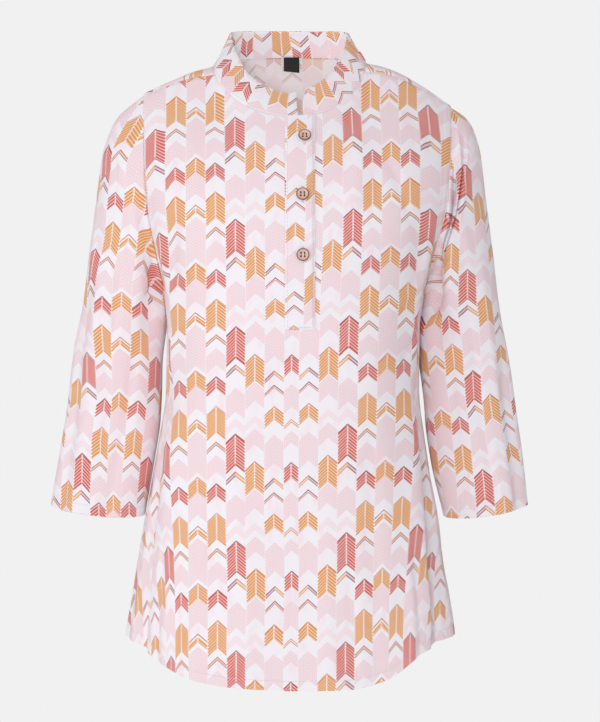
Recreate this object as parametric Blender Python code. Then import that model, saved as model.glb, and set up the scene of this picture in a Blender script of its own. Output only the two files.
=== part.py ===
"""A toddler's band-collar kurta, filled out as if worn, with nobody in it.

Frame: +Z up, the front faces -Y, and the wearer's left arm is at +X. The origin is in
the middle of the neck opening, at the height where the cloth lies on the shoulders.
Lengths are in millimetres up to the last step, which writes the meshes in metres.

The body cloth follows one general figure. A point of it is given by its side, its turn
round the body (0 at the middle of the front or the back, 90 degrees at the side seam)
and its rise, which goes up the front, over the shoulder and down the back.
"""

import math
from collections import namedtuple

import bmesh
import bpy
import numpy as np
from mathutils import Vector

METRES = 0.001
CLOTH = 1.2  # wall of a single layer
BAND_CLOTH = 1.5  # wall of the doubled collar
LABEL_CLOTH = 1.0
SEAM_GAP = 0.3
HALF_GAP = SEAM_GAP / 2
EDGE_SET_BACK = 0.6  # how far the inner edge of a wall stands back from the outer one

RIGHT, LEFT = -1, 1  # the wearer's sides, and the signs of X

# ---------------------------------------------------------------- the figure

Section = namedtuple("Section", "height right left front back square")
SECTIONS = (
    Section(-440, 116.0, 112.0, 84.0, 82.0, 2.8),
    Section(-388, 112.5, 109.0, 83.0, 80.0, 2.8),
    Section(-363, 108.0, 105.0, 82.0, 78.0, 2.9),
    Section(-336, 103.6, 99.8, 81.0, 76.0, 3.0),
    Section(-310, 100.0, 97.2, 80.0, 74.0, 3.0),
    Section(-258, 91.0, 89.5, 78.0, 69.0, 3.1),
    Section(-223, 86.0, 85.5, 76.0, 67.0, 3.1),
    Section(-180, 85.5, 86.0, 74.0, 67.0, 3.0),
    Section(-152, 88.5, 90.5, 73.0, 68.0, 2.8),
    Section(-128, 95.0, 98.0, 72.0, 69.0, 2.7),
    Section(-101, 103.0, 108.0, 70.0, 70.0, 2.6),
    Section(-60, 109.0, 115.0, 60.0, 69.0, 2.6),
    Section(-20, 111.0, 117.0, 42.0, 66.0, 2.6),
    Section(20, 112.0, 118.0, 36.0, 65.0, 2.6),
)

Ridge = namedtuple("Ridge", "out right left")
RIDGE = (  # the top of the shoulder, by the distance from the middle
    Ridge(0, 34.0, 34.0),
    Ridge(25, 28.0, 27.0),
    Ridge(38, 15.0, 13.0),
    Ridge(46, 4.5, 3.0),
    Ridge(51, -1.5, -1.2),
    Ridge(57, -3.8, -2.2),
    Ridge(67, -6.4, -5.3),
    Ridge(75, -9.5, -8.9),
    Ridge(83, -13.2, -13.6),
    Ridge(91, -16.8, -18.8),
    Ridge(100, -21.6, -25.2),
    Ridge(108, -27.2, -31.2),
    Ridge(130, -40.0, -46.0),
)

CHEST_HEIGHT = -110.0  # above it the body closes towards the shoulders
RISE_PER_MM = 0.01  # rise below the chest, in radians for each millimetre of height
SEAM_RISE_AT_NECK = math.radians(71)  # the shoulder seam lies in front of the ridge
SEAM_RISE_AT_ARM = math.radians(86)

NECK_HALF = {RIGHT: 54.4, LEFT: 49.6}
NECK_FRONT_HEIGHT = -37.4
NECK_BACK_HEIGHT = 3.5
NECK_FRONT_POWER = {RIGHT: 1.25, LEFT: 1.0}  # a higher power gives a deeper curve
NECK_BACK_POWER = 0.5

UNDERARM_HEIGHT = -152.0
ARMHOLE_TOP_OUT = {RIGHT: 102.0, LEFT: 108.0}
ARMHOLE_ROUND = 2.6

HEM_HEIGHT = -427.0
HemRise = namedtuple("HemRise", "turn right left")
HEM_RISES = (
    HemRise(0, 0.0, 0.0),
    HemRise(18, 2.0, 0.8),
    HemRise(32, 6.8, 7.5),
    HemRise(45, 19.0, 25.0),
    HemRise(60, 31.0, 34.0),
    HemRise(75, 37.0, 38.0),
    HemRise(90, 39.0, 39.0),
)

# ---------------------------------------------------------------- placket, collar, trims

PLACKET_EDGES = (-5.4, 15.0)
PLACKET_FOOT = -179.5
PLACKET_LAP = 2.7  # the upper band reaches this far below the slot
NOTCH_MARGIN = 0.8  # the slot in the front is this much narrower on each side
BUTTON_SPOTS = ((7.9, -51.6), (6.5, -90.8), (6.7, -131.4))
BUTTON_RADIUS = 4.4
BUTTON_HEIGHT = 1.9
Turning = namedtuple("Turning", "out up")
BUTTON_PROFILE = (  # from the middle of the back to the middle of the face, as shares
    Turning(0.0, 0.0),
    Turning(0.72, 0.0),
    Turning(0.93, 0.3),
    Turning(1.0, 0.62),
    Turning(0.95, 0.9),
    Turning(0.84, 1.0),
    Turning(0.72, 0.93),
    Turning(0.62, 0.7),
    Turning(0.5, 0.62),
    Turning(0.0, 0.6),
)
BUTTON_HOLE_RADIUS = 0.55
BUTTON_HOLE_SPREAD = 1.05

CollarTop = namedtuple("CollarTop", "turn out depth height")
COLLAR_TOPS = (  # upper edge of the band, by the turn from the middle of the front
    CollarTop(0, 0.0, -29.0, -21.5),
    CollarTop(25, 15.0, -27.0, -16.8),
    CollarTop(50, 27.5, -20.0, -8.0),
    CollarTop(70, 34.0, -10.0, 2.5),
    CollarTop(90, 38.5, 2.0, 12.5),
    CollarTop(115, 40.0, 17.0, 20.3),
    CollarTop(145, 27.0, 29.0, 21.5),
    CollarTop(180, 0.0, 33.5, 21.5),
)
COLLAR_SHIFT = -2.6
COLLAR_BULGE = 1.0
COLLAR_ENDS = {RIGHT: (4.2, 8.0), LEFT: (8.6, 18.5)}  # turn at the foot and at the top

LABEL_EDGES = (-6.4, 4.4)
LABEL_TOP, LABEL_FOOT = 2.7, -5.6

Ring = namedtuple("Ring", "outer_x outer_z inner_x inner_z middle_y half_depth droop")
SLEEVES = {
    RIGHT: (
        Ring(102.0, -22.8, 88.5, -152.0, 0.0, 30.0, 0.0),
        Ring(120.5, -39.5, 90.0, -154.5, 1.0, 31.0, 0.0),
        Ring(129.5, -63.0, 90.6, -158.5, 3.0, 31.0, 0.0),
        Ring(134.2, -97.0, 90.2, -165.0, 5.0, 30.0, 0.5),
        Ring(138.8, -131.0, 89.4, -175.0, 7.0, 28.0, 1.0),
        Ring(142.8, -164.0, 88.8, -191.0, 8.0, 26.5, 1.5),
        Ring(149.5, -198.0, 88.8, -214.0, 7.0, 25.5, 2.0),
        Ring(153.4, -233.0, 89.8, -241.0, 3.0, 25.0, 3.0),
        Ring(158.6, -265.0, 94.0, -270.0, -2.0, 24.5, 4.0),
        Ring(164.6, -300.5, 100.3, -306.5, -8.0, 24.0, 5.0),
    ),
    LEFT: (
        Ring(108.0, -32.2, 90.5, -152.0, 0.0, 30.0, 0.0),
        Ring(119.5, -41.0, 92.0, -154.5, 1.0, 31.0, 0.0),
        Ring(127.0, -60.0, 92.4, -158.5, 3.0, 31.0, 0.0),
        Ring(131.5, -95.0, 91.8, -165.0, 5.0, 30.0, 0.5),
        Ring(136.2, -131.0, 90.6, -175.0, 7.0, 28.0, 1.0),
        Ring(140.2, -165.0, 89.6, -191.0, 8.0, 26.5, 1.5),
        Ring(145.8, -198.0, 89.0, -214.0, 7.0, 25.5, 2.0),
        Ring(150.2, -233.0, 89.6, -241.0, 3.0, 25.0, 3.0),
        Ring(154.8, -265.0, 93.4, -270.0, -2.0, 24.5, 4.0),
        Ring(158.6, -300.0, 102.0, -307.5, -8.0, 24.0, 5.0),
    ),
}
SLEEVE_SQUARE = 2.3
CAP_BLEND = 0.3  # share of the sleeve in which the armhole's outline fades out

# ---------------------------------------------------------------- folds

BODY_MM_PER_DEGREE = 1.55  # cloth that a degree of turn covers, for the width of a fold
SLEEVE_MM_PER_DEGREE = 0.5
SIDE_SEAM_FADE = (80, 90)  # turns between which folds die out towards the side seam

# A fold is a ridge (height above 0) or a trough along a line, soft at both ends.
BodyFold = namedtuple("BodyFold", "side face top_turn top_z foot_turn foot_z width height")
BODY_FOLDS = (
    BodyFold(RIGHT, "front", 55, -235, 41, -440, 9, 3.0),
    BodyFold(RIGHT, "front", 67, -262, 54, -440, 9, -4.5),
    BodyFold(RIGHT, "front", 78, -300, 72, -440, 8, 2.0),
    BodyFold(LEFT, "front", 57, -215, 42, -430, 9, 3.4),
    BodyFold(LEFT, "front", 68, -240, 53, -440, 8, -5.0),
    BodyFold(LEFT, "front", 79, -285, 70, -440, 8, 2.6),
    BodyFold(RIGHT, "front", 62, -120, 60, -215, 9, 2.6),
    BodyFold(LEFT, "front", 62, -115, 60, -205, 9, 2.6),
    BodyFold(LEFT, "front", 24, -52, 20, -100, 6, 1.6),
    BodyFold(RIGHT, "front", 45, -95, 58, -150, 8, -1.6),
    BodyFold(LEFT, "front", 47, -100, 58, -150, 8, -1.6),
    BodyFold(RIGHT, "back", 52, -225, 40, -440, 10, 3.2),
    BodyFold(RIGHT, "back", 66, -255, 56, -440, 9, -4.0),
    BodyFold(LEFT, "back", 54, -215, 42, -440, 10, 3.2),
    BodyFold(LEFT, "back", 68, -245, 57, -440, 9, -4.0),
    BodyFold(RIGHT, "back", 20, -190, 17, -440, 11, -2.4),
    BodyFold(LEFT, "back", 14, -170, 18, -440, 11, 2.2),
    BodyFold(RIGHT, "back", 48, -90, 60, -160, 9, -2.0),
    BodyFold(LEFT, "back", 48, -90, 60, -160, 9, -2.0),
)

# On a sleeve the line is given by the turn round it (0 outside, 90 front, 180 inside)
# and by the share of the way from the armhole to the cuff.
NEAR_CUFF = 0.9
SleeveFold = namedtuple("SleeveFold", "side top_turn top_along foot_turn foot_along width height")
SLEEVE_FOLDS = (
    SleeveFold(RIGHT, 28, 0.46, 40, 0.97, 7, -3.0),
    SleeveFold(RIGHT, 52, 0.42, 60, 0.97, 9, 2.2),
    SleeveFold(RIGHT, 140, 0.10, 128, 0.62, 8, -3.2),
    SleeveFold(RIGHT, 104, 0.06, 96, 0.40, 9, 2.0),
    SleeveFold(RIGHT, 62, 0.10, 20, 0.30, 8, -1.8),
    SleeveFold(RIGHT, 300, 0.40, 312, 0.97, 9, -2.4),
    SleeveFold(RIGHT, 225, 0.12, 240, 0.60, 9, -2.6),
    SleeveFold(LEFT, 30, 0.60, 38, 1.05, 7, -2.8),
    SleeveFold(LEFT, 12, 0.62, 16, 1.05, 7, 1.6),
    SleeveFold(LEFT, 142, 0.10, 122, 0.66, 9, -3.6),
    SleeveFold(LEFT, 108, 0.06, 98, 0.50, 9, 2.4),
    SleeveFold(LEFT, 66, 0.10, 30, 0.34, 8, -1.8),
    SleeveFold(LEFT, 305, 0.45, 315, 0.97, 9, -2.4),
    SleeveFold(LEFT, 228, 0.12, 242, 0.60, 9, -2.6),
)

# ---------------------------------------------------------------- looks

PRINTED_LOOK = ((0.93, 0.78, 0.76), 0.85)  # colour and roughness
WOOD_LOOK = ((0.62, 0.40, 0.28), 0.35)
LABEL_LOOK = ((0.015, 0.015, 0.02), 0.6)

# ---------------------------------------------------------------- mesh density

ROWS_TO_PLACKET = 12
ROWS_TO_UNDERARM = 2
ROWS_TO_SHOULDER = 16
COLUMNS = 16
STRIP_COLUMNS = 2
BACK_STRIP_HALF = 6.0
SLEEVE_RINGS = 21
COLLAR_ROWS = 3


def smooth_line(keys, values):
    """A function through the points that keeps each stretch between its two ends."""
    keys, values = np.asarray(keys, float), np.asarray(values, float)
    step = np.diff(keys)
    slope = np.diff(values) / step
    tangent = np.zeros(len(keys))
    same_way = slope[:-1] * slope[1:] > 0
    weight = np.where(same_way, slope[:-1] * slope[1:], 0.0)
    tangent[1:-1] = np.where(same_way, 2 * weight / np.where(same_way, slope[:-1] + slope[1:], 1), 0)
    tangent[0], tangent[-1] = slope[0], slope[-1]

    def at(key):
        key = np.clip(np.asarray(key, float), keys[0], keys[-1])
        i = np.clip(np.searchsorted(keys, key, side="right") - 1, 0, len(step) - 1)
        t = (key - keys[i]) / step[i]
        rise = values[i + 1] - values[i]
        a = step[i] * tangent[i] - rise
        b = rise - step[i] * tangent[i + 1]
        return values[i] + t * rise + t * (1 - t) * ((1 - t) * a + t * b)

    return at


def column(rows, key, value):
    return smooth_line([getattr(r, key) for r in rows], [getattr(r, value) for r in rows])


half_width = {RIGHT: column(SECTIONS, "height", "right"), LEFT: column(SECTIONS, "height", "left")}
depth = {"front": column(SECTIONS, "height", "front"), "back": column(SECTIONS, "height", "back")}
squareness = column(SECTIONS, "height", "square")
ridge_height = {RIGHT: column(RIDGE, "out", "right"), LEFT: column(RIDGE, "out", "left")}
hem_lift = {RIGHT: column(HEM_RISES, "turn", "right"), LEFT: column(HEM_RISES, "turn", "left")}


def smooth_step(x, start, end):
    t = np.clip((np.asarray(x, float) - start) / (end - start), 0, 1)
    return t * t * (3 - 2 * t)


# ---------------------------------------------------------------- the body surface


def base_point(side, turn, rise):
    """Points of the unfolded body surface; turn and rise are arrays in radians."""
    turn, rise = np.broadcast_arrays(np.asarray(turn, float), np.asarray(rise, float))
    behind = rise > math.pi / 2
    up = np.where(behind, math.pi - rise, rise)
    z = CHEST_HEIGHT + up / RISE_PER_MM
    out = np.zeros_like(z)
    for _ in range(8):
        power = squareness(z)
        sine, cosine = np.sin(turn), np.cos(turn)
        cosine = np.maximum(cosine, 0)
        size = (sine**power + cosine**power) ** (1 / power)
        out = half_width[side](z) * sine / size
        share = cosine / size
        top = CHEST_HEIGHT + (ridge_height[side](out) - CHEST_HEIGHT) * np.sin(up)
        z = np.where(up > 0, top, CHEST_HEIGHT + up / RISE_PER_MM)
    closing = np.where(up > 0, np.cos(up), 1.0)
    y = np.where(behind, depth["back"](z), -depth["front"](z)) * share * closing
    return np.stack([side * out, y, z], -1)


def place_of(side, out, z, face="front"):
    """(turn, rise) of the surface point with that distance from the middle and height."""
    out, z = np.asarray(out, float), np.asarray(z, float)
    across = np.clip(out / half_width[side](z), 0, 1)
    power = squareness(z)
    turn = np.arctan2(across, (1 - across**power) ** (1 / power))
    share = np.clip((z - CHEST_HEIGHT) / (ridge_height[side](out) - CHEST_HEIGHT), -1, 1)
    up = np.where(z > CHEST_HEIGHT, np.arcsin(np.maximum(share, 0)), (z - CHEST_HEIGHT) * RISE_PER_MM)
    return turn, math.pi - up if face == "back" else up


def fold_height(side, turn, rise, z):
    """Sum of the folds at these places, which fades towards the seams."""
    behind = rise > math.pi / 2
    total = np.zeros_like(z)
    degrees = np.degrees(turn)
    for fold in BODY_FOLDS:
        if fold.side != side:
            continue
        t = (z - fold.top_z) / (fold.foot_z - fold.top_z)
        line = fold.top_turn + (fold.foot_turn - fold.top_turn) * t
        across = (degrees - line) * BODY_MM_PER_DEGREE / fold.width
        runs_out = fold.foot_z > HEM_HEIGHT
        ends = smooth_step(t, -0.12, 0.3) * (1 - smooth_step(t, 0.85, 1.12) * runs_out)
        face = behind if fold.face == "back" else ~behind
        total += np.where(face, fold.height * np.exp(-across * across) * ends, 0)
    at_side = 1 - smooth_step(degrees, *SIDE_SEAM_FADE) * (z < UNDERARM_HEIGHT)
    return total * at_side


def surface(side, turn, rise, lift=0.0):
    """Body cloth points with their folds, moved out by lift."""
    turn, rise = np.broadcast_arrays(np.asarray(turn, float), np.asarray(rise, float))
    step = 1e-3
    point = base_point(side, turn, rise)
    along = base_point(side, np.minimum(turn + step, math.pi / 2), rise)
    along = along - base_point(side, np.maximum(turn - step, 0), rise)
    upward = base_point(side, turn, rise + step) - base_point(side, turn, rise - step)
    normal = np.cross(along, upward) * side
    normal /= np.linalg.norm(normal, axis=-1, keepdims=True)
    height = fold_height(side, turn, rise, point[..., 2]) * armhole_fade(side, turn, rise)
    return point + normal * (height + lift)[..., None]


# ---------------------------------------------------------------- seam lines on the body


def armhole_place(side, swing):
    """(turn, rise) on the armhole; swing is 0 at the underarm, 90 on the ridge, 180 again
    at the underarm, round the back."""
    swing = np.asarray(swing, float)
    power = 2 / ARMHOLE_ROUND
    top_out = ARMHOLE_TOP_OUT[side]
    top_turn = float(place_of(side, top_out, ridge_height[side](top_out) - 1e-6)[0])
    foot_rise = (UNDERARM_HEIGHT - CHEST_HEIGHT) * RISE_PER_MM
    sine = np.sin(np.radians(swing))
    cosine = np.cos(np.radians(swing))
    turn = math.pi / 2 - (math.pi / 2 - top_turn) * np.maximum(sine, 0) ** power
    rise = math.pi / 2 - np.sign(cosine) * (math.pi / 2 - foot_rise) * np.abs(cosine) ** power
    return turn, rise


def armhole_fade(side, turn, rise):
    """1 on the open cloth and 0 on the armhole and the side seam, so that seams meet."""
    up = np.where(rise > math.pi / 2, math.pi - rise, rise)
    top_turn = armhole_place(side, 90.0)[0]
    foot_rise = (UNDERARM_HEIGHT - CHEST_HEIGHT) * RISE_PER_MM
    high = np.clip((up - foot_rise) / (math.pi / 2 - foot_rise), 0, 1)
    reach = (1 - (1 - high) ** ARMHOLE_ROUND) ** (1 / ARMHOLE_ROUND)
    edge = math.pi / 2 - (math.pi / 2 - top_turn) * reach
    return smooth_step(edge - turn, 0.0, 0.16)


def neck_place(side, turn):
    """(turn, rise) on the neckline; the argument is the angle round the neck, 0 in front."""
    turn = np.radians(np.asarray(turn, float))
    out = NECK_HALF[side] * np.abs(np.sin(turn))
    side_z = float(ridge_height[side](NECK_HALF[side]))
    forward = np.cos(turn)
    reach = np.where(forward > 0, NECK_FRONT_HEIGHT - side_z, NECK_BACK_HEIGHT - side_z)
    power = np.where(forward > 0, NECK_FRONT_POWER[side], NECK_BACK_POWER)
    z = side_z + reach * np.abs(forward) ** power
    z = np.minimum(z, ridge_height[side](out) - 1e-6)
    front = place_of(side, out, z)
    back = place_of(side, out, z, "back")
    return front[0], np.where(forward > 0, front[1], back[1])


def crossing(curve, low, high, rise):
    """The argument at which a seam curve, such as the neckline, has that rise."""
    growing = float(curve(high)[1]) > float(curve(low)[1])
    for _ in range(50):
        middle = (low + high) / 2
        if (float(curve(middle)[1]) < rise) == growing:
            low = middle
        else:
            high = middle
    return (low + high) / 2


def evenly(curve, side, start, end, count):
    """count + 1 arguments from start to end, at equal steps along the cloth."""
    fine = np.linspace(start, end, 241)
    points = surface(side, *curve(fine))
    length = np.concatenate([[0], np.cumsum(np.linalg.norm(np.diff(points, axis=0), axis=1))])
    return np.interp(np.linspace(0, length[-1], count + 1), length, fine)


def pulled(places, towards, side, distance):
    """Places moved towards other places by a distance in millimetres along the cloth."""
    a = surface(side, *places)
    b = surface(side, *towards)
    share = distance / np.maximum(np.linalg.norm(b - a, axis=-1), 1e-6)
    share = np.minimum(share, 0.5)
    return tuple(p + (q - p) * share for p, q in zip(places, towards))


def hem_place(side, turn, face):
    z = HEM_HEIGHT + hem_lift[side](np.degrees(turn))
    up = (z - CHEST_HEIGHT) * RISE_PER_MM
    return turn, math.pi - up if face == "back" else up


def blended(inner, outer, foot, top):
    """A grid of (turn, rise) inside its four edges; each edge is (turns, rises)."""
    rows, columns = len(inner[0]), len(foot[0])
    s = np.linspace(0, 1, columns)[None, :]
    t = np.linspace(0, 1, rows)[:, None]
    grids = []
    for i, o, f, p in zip(inner, outer, foot, top):
        i, o, f, p = (np.asarray(a, float) for a in (i, o, f, p))
        grid = (1 - s) * i[:, None] + s * o[:, None] + (1 - t) * f[None, :] + t * p[None, :]
        grid -= (1 - s) * (1 - t) * f[0] + s * (1 - t) * f[-1] + (1 - s) * t * p[0] + s * t * p[-1]
        grids.append(grid)
    return grids


def row_heights():
    """Heights of the rows from the hem to the underarm, at the middle of the body."""
    low = np.linspace(HEM_HEIGHT, PLACKET_FOOT, ROWS_TO_PLACKET + 1)
    high = np.linspace(PLACKET_FOOT, UNDERARM_HEIGHT, ROWS_TO_UNDERARM + 1)
    return np.concatenate([low, high[1:]])


def neck_rows(side, face, inner_out):
    """How many rows lie below the neckline, and the angles of the rows along it."""
    first = math.degrees(math.asin(inner_out / NECK_HALF[side]))
    if face == "back":
        first = 180 - first
    last = crossing(lambda a: neck_place(side, a), 30, 89.9, SEAM_RISE_AT_NECK)
    around = surface(side, *neck_place(side, np.linspace(first, last, 60)))
    length = np.linalg.norm(np.diff(around, axis=0), axis=1).sum()
    drop = abs(around[0, 2] - UNDERARM_HEIGHT)
    below = round(ROWS_TO_SHOULDER * drop / (drop + length))
    angles = evenly(lambda a: neck_place(side, a), side, first, last, ROWS_TO_SHOULDER - below)
    return below, angles


def armhole_rows(side, face):
    """Places on the armhole of the rows from the underarm to the shoulder seam."""
    seam = crossing(lambda a: armhole_place(side, a), 10, 89.9, SEAM_RISE_AT_ARM)
    start = 0.0 if face == "front" else 180.0
    return evenly(lambda a: armhole_place(side, a), side, start, seam, ROWS_TO_SHOULDER)


def half_panel(side, face, inner_out):
    """Outer and inner points of half a front or back, as two grids: rows from hem to
    shoulder seam, columns from the middle to the side. inner_out is where they start."""
    heights = row_heights()
    seam_heights = np.linspace(HEM_HEIGHT + float(hem_lift[side](90)), UNDERARM_HEIGHT, len(heights))
    seam_rises = (seam_heights - CHEST_HEIGHT) * RISE_PER_MM
    if face == "back":
        seam_rises = math.pi - seam_rises
    below, neck_angles = neck_rows(side, face, inner_out)
    neck_z = surface(side, *neck_place(side, neck_angles[0]))[2]
    middle_heights = np.concatenate([heights, np.linspace(UNDERARM_HEIGHT, neck_z, below + 1)[1:-1]])
    middle = place_of(side, np.full(len(middle_heights), inner_out), middle_heights, face)
    middle[1][0] = hem_place(side, middle[0][0], face)[1]
    neckline = neck_place(side, neck_angles)
    inner = tuple(np.concatenate(parts) for parts in zip(middle, neckline))

    armhole = armhole_place(side, armhole_rows(side, face)[1:])
    outer = (
        np.concatenate([np.full(len(heights), math.pi / 2), armhole[0]]),
        np.concatenate([seam_rises, armhole[1]]),
    )
    foot = hem_place(side, np.linspace(inner[0][0], math.pi / 2, COLUMNS + 1), face)
    top = tuple(np.linspace(a[-1], b[-1], COLUMNS + 1) for a, b in zip(inner, outer))
    turn, rise = blended(inner, outer, foot, top)

    neck_row = len(middle_heights)

    def pull(edge, towards):
        moved = pulled((turn[edge], rise[edge]), (turn[towards], rise[towards]), side, HALF_GAP)
        turn[edge], rise[edge] = moved

    pull((slice(None), -1), (slice(None), -2))
    pull((slice(neck_row + 1, None), 0), (slice(neck_row + 1, None), 1))
    pull((slice(neck_row, neck_row + 1), 0), (slice(neck_row - 1, neck_row), 0))
    pull((-1, slice(None)), (-2, slice(None)))
    return surface(side, turn, rise), surface(side, turn, rise, -CLOTH)


# ---------------------------------------------------------------- meshes


def grid_faces(rows, columns, first=0, closed=False):
    """Quads of a grid whose points are numbered row by row."""
    faces = []
    for i in range(rows - 1):
        for j in range(columns if closed else columns - 1):
            k = (j + 1) % columns
            a, b = first + i * columns + j, first + i * columns + k
            faces.append((a, b, b + columns, a + columns))
    return faces


def walled(points, faces, wall, inner=None, set_back=EDGE_SET_BACK):
    """A closed skin: the given outer faces, an inner skin and a rim round the edges. The
    inner edge stands back a little, as a turned edge does."""
    normals = np.zeros_like(points)
    uses = {}
    for face in faces:
        corners = points[list(face)]
        area = np.cross(corners[2] - corners[0], corners[-1] - corners[1])
        for k, vertex in enumerate(face):
            normals[vertex] += area
            edge = (vertex, face[(k + 1) % len(face)])
            uses.setdefault(frozenset(edge), []).append(edge)
    normals /= np.linalg.norm(normals, axis=1, keepdims=True)
    rim = [pairs[0] for pairs in uses.values() if len(pairs) == 1]
    on_rim = {vertex for edge in rim for vertex in edge}
    inward = {vertex: np.zeros(3) for vertex in on_rim}
    for edge, pairs in uses.items():
        if len(pairs) == 2:
            for vertex, other in (tuple(edge), tuple(edge)[::-1]):
                if vertex in on_rim:
                    way = points[other] - points[vertex]
                    inward[vertex] += way / np.linalg.norm(way)
    inner = points - normals * wall if inner is None else inner.copy()
    for vertex, way in inward.items():
        way -= normals[vertex] * (way @ normals[vertex])
        length = np.linalg.norm(way)
        if length > 1e-6:
            inner[vertex] += way / length * set_back
    count = len(points)
    closed = list(faces) + [tuple(v + count for v in face[::-1]) for face in faces]
    closed += [(b, a, a + count, b + count) for a, b in rim]
    return np.concatenate([points, inner]), closed


def cloth(name, points, faces, wall=CLOTH, inner=None, set_back=EDGE_SET_BACK, look=PRINTED_LOOK):
    """A piece of cloth whose outer skin is these faces."""
    points, faces = walled(points, faces, wall, inner, set_back)
    mesh = bpy.data.meshes.new(name)
    mesh.from_pydata([tuple(p) for p in points * METRES], [], faces)
    mesh.validate()
    mesh.shade_smooth()
    mesh.set_sharp_from_angle(angle=math.radians(50))
    obj = bpy.data.objects.new(name, mesh)
    bpy.context.scene.collection.objects.link(obj)
    obj.data.materials.append(material(name, *look))
    return obj


def material(name, colour, roughness):
    made = bpy.data.materials.new(name)
    made.use_nodes = True
    shader = made.node_tree.nodes["Principled BSDF"]
    shader.inputs["Base Color"].default_value = (*colour, 1)
    shader.inputs["Roughness"].default_value = roughness
    shader.inputs["Metallic"].default_value = 0.0
    return made


def notch_edges():
    return PLACKET_EDGES[0] + NOTCH_MARGIN, PLACKET_EDGES[1] - NOTCH_MARGIN


def panel(name, face, low, high, joined):
    """Two half panels, and the strip from x = low to x = high that joins their lowest
    rows into one piece of cloth."""
    right = half_panel(RIGHT, face, -low)
    left = half_panel(LEFT, face, high)
    rows, columns = right[0].shape[:2]
    share = np.linspace(0, 1, STRIP_COLUMNS + 1)[None, 1:-1]
    x = low + (high - low) * share
    z = right[0][:joined, :1, 2] * (1 - share) + left[0][:joined, :1, 2] * share
    middle = [face_points(face, x, z, lift) for lift in (0.0, -CLOTH)]
    outer, inner = (
        np.concatenate([grid.reshape(-1, 3) for grid in (right[k], left[k], middle[k])])
        for k in (0, 1)
    )

    def strip_point(i, j):
        if j == 0:
            return i * columns
        if j == STRIP_COLUMNS:
            return rows * columns + i * columns
        return 2 * rows * columns + i * (STRIP_COLUMNS - 1) + j - 1

    faces = [f[::-1] for f in grid_faces(rows, columns)]
    faces += grid_faces(rows, columns, rows * columns)
    for i in range(joined - 1):
        for j in range(STRIP_COLUMNS):
            corners = ((i, j), (i, j + 1), (i + 1, j + 1), (i + 1, j))
            faces.append(tuple(strip_point(*c) for c in corners))
    if face == "back":
        faces = [f[::-1] for f in faces]
    return cloth(name, outer, faces, inner=inner)


def front_panel():
    low, high = notch_edges()
    return panel("front_panel", "front", low, high, ROWS_TO_PLACKET + 1)


def back_panel():
    to_neck = len(row_heights()) + neck_rows(LEFT, "back", BACK_STRIP_HALF)[0]
    return panel("back_panel", "back", -BACK_STRIP_HALF, BACK_STRIP_HALF, to_neck)


# ---------------------------------------------------------------- sleeves


def sleeve_rings(side):
    """Smooth functions of the share of the way along, one for each column of the table."""
    rings = SLEEVES[side]
    along = np.linspace(0, 1, len(rings))
    return {key: smooth_line(along, [getattr(r, key) for r in rings]) for key in Ring._fields}


def armhole_ring(side):
    """Armhole points from the shoulder seam by the front to the underarm and up the back."""
    front = armhole_rows(side, "front")[::-1]
    back = armhole_rows(side, "back")
    return surface(side, *armhole_place(side, np.concatenate([front, back[1:-1]])))


def sleeve_points(side, rings=SLEEVE_RINGS):
    table = sleeve_rings(side)
    start = armhole_ring(side)
    sides = len(start)
    along = np.linspace(0, 1, rings + 1)[:, None]
    turn = np.radians(np.arange(sides) * 360 / sides)[None, :]
    row = {key: line(along) for key, line in table.items()}
    sine, cosine = np.sin(turn), np.cos(turn)
    size = (np.abs(sine) ** SLEEVE_SQUARE + np.abs(cosine) ** SLEEVE_SQUARE) ** (1 / SLEEVE_SQUARE)
    across, deep = cosine / size, sine / size
    x = (row["outer_x"] + row["inner_x"]) / 2 + (row["outer_x"] - row["inner_x"]) / 2 * across
    z = (row["outer_z"] + row["inner_z"]) / 2 + (row["outer_z"] - row["inner_z"]) / 2 * across
    z = z - row["droop"] * deep
    y = row["middle_y"] - row["half_depth"] * deep
    points = np.stack([side * x, y, z], -1)
    fade = 1 - smooth_step(along, 0, CAP_BLEND)
    points += (start - points[0])[None] * fade[..., None]
    return folded_sleeve(side, points, along, turn)


def folded_sleeve(side, points, along, turn):
    normal = np.cross(
        np.roll(points, -1, axis=1) - np.roll(points, 1, axis=1),
        np.gradient(points, axis=0),
    ) * side
    normal /= np.maximum(np.linalg.norm(normal, axis=-1, keepdims=True), 1e-9)
    degrees = np.degrees(turn)
    height = np.zeros(points.shape[:2])
    for fold in SLEEVE_FOLDS:
        if fold.side != side:
            continue
        t = (along - fold.top_along) / (fold.foot_along - fold.top_along)
        line = fold.top_turn + (fold.foot_turn - fold.top_turn) * t
        across = ((degrees - line + 180) % 360 - 180) * SLEEVE_MM_PER_DEGREE / fold.width
        runs_out = fold.foot_along < NEAR_CUFF
        ends = smooth_step(t, -0.05, 0.3) * (1 - smooth_step(t, 0.7, 1.05) * runs_out)
        height += fold.height * np.exp(-across * across) * ends
    height = height * smooth_step(along, 0.0, 0.1)
    return points + normal * height[..., None]


def sleeve(side, name):
    points = sleeve_points(side)
    first = points[1] - points[0]
    gap = HALF_GAP / np.linalg.norm(first, axis=-1, keepdims=True)
    points[0] = points[0] + first * np.minimum(gap, 0.5)
    rings, sides = points.shape[:2]
    faces = grid_faces(rings, sides, closed=True)
    if side == RIGHT:
        faces = [f[::-1] for f in faces]
    return cloth(name, points.reshape(-1, 3), faces)


# ---------------------------------------------------------------- collar


def neck_point(turn):
    """Points of the neckline, by the angle round the neck: 0 in front, 90 at +X."""
    turn = np.asarray(turn, float)
    shape = turn.shape
    flat = np.mod(turn.ravel() + 180, 360) - 180
    points = np.zeros((len(flat), 3))
    for side in (RIGHT, LEFT):
        mine = flat * side >= 0
        points[mine] = surface(side, *neck_place(side, np.abs(flat[mine])))
    return points.reshape(*shape, 3)


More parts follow.
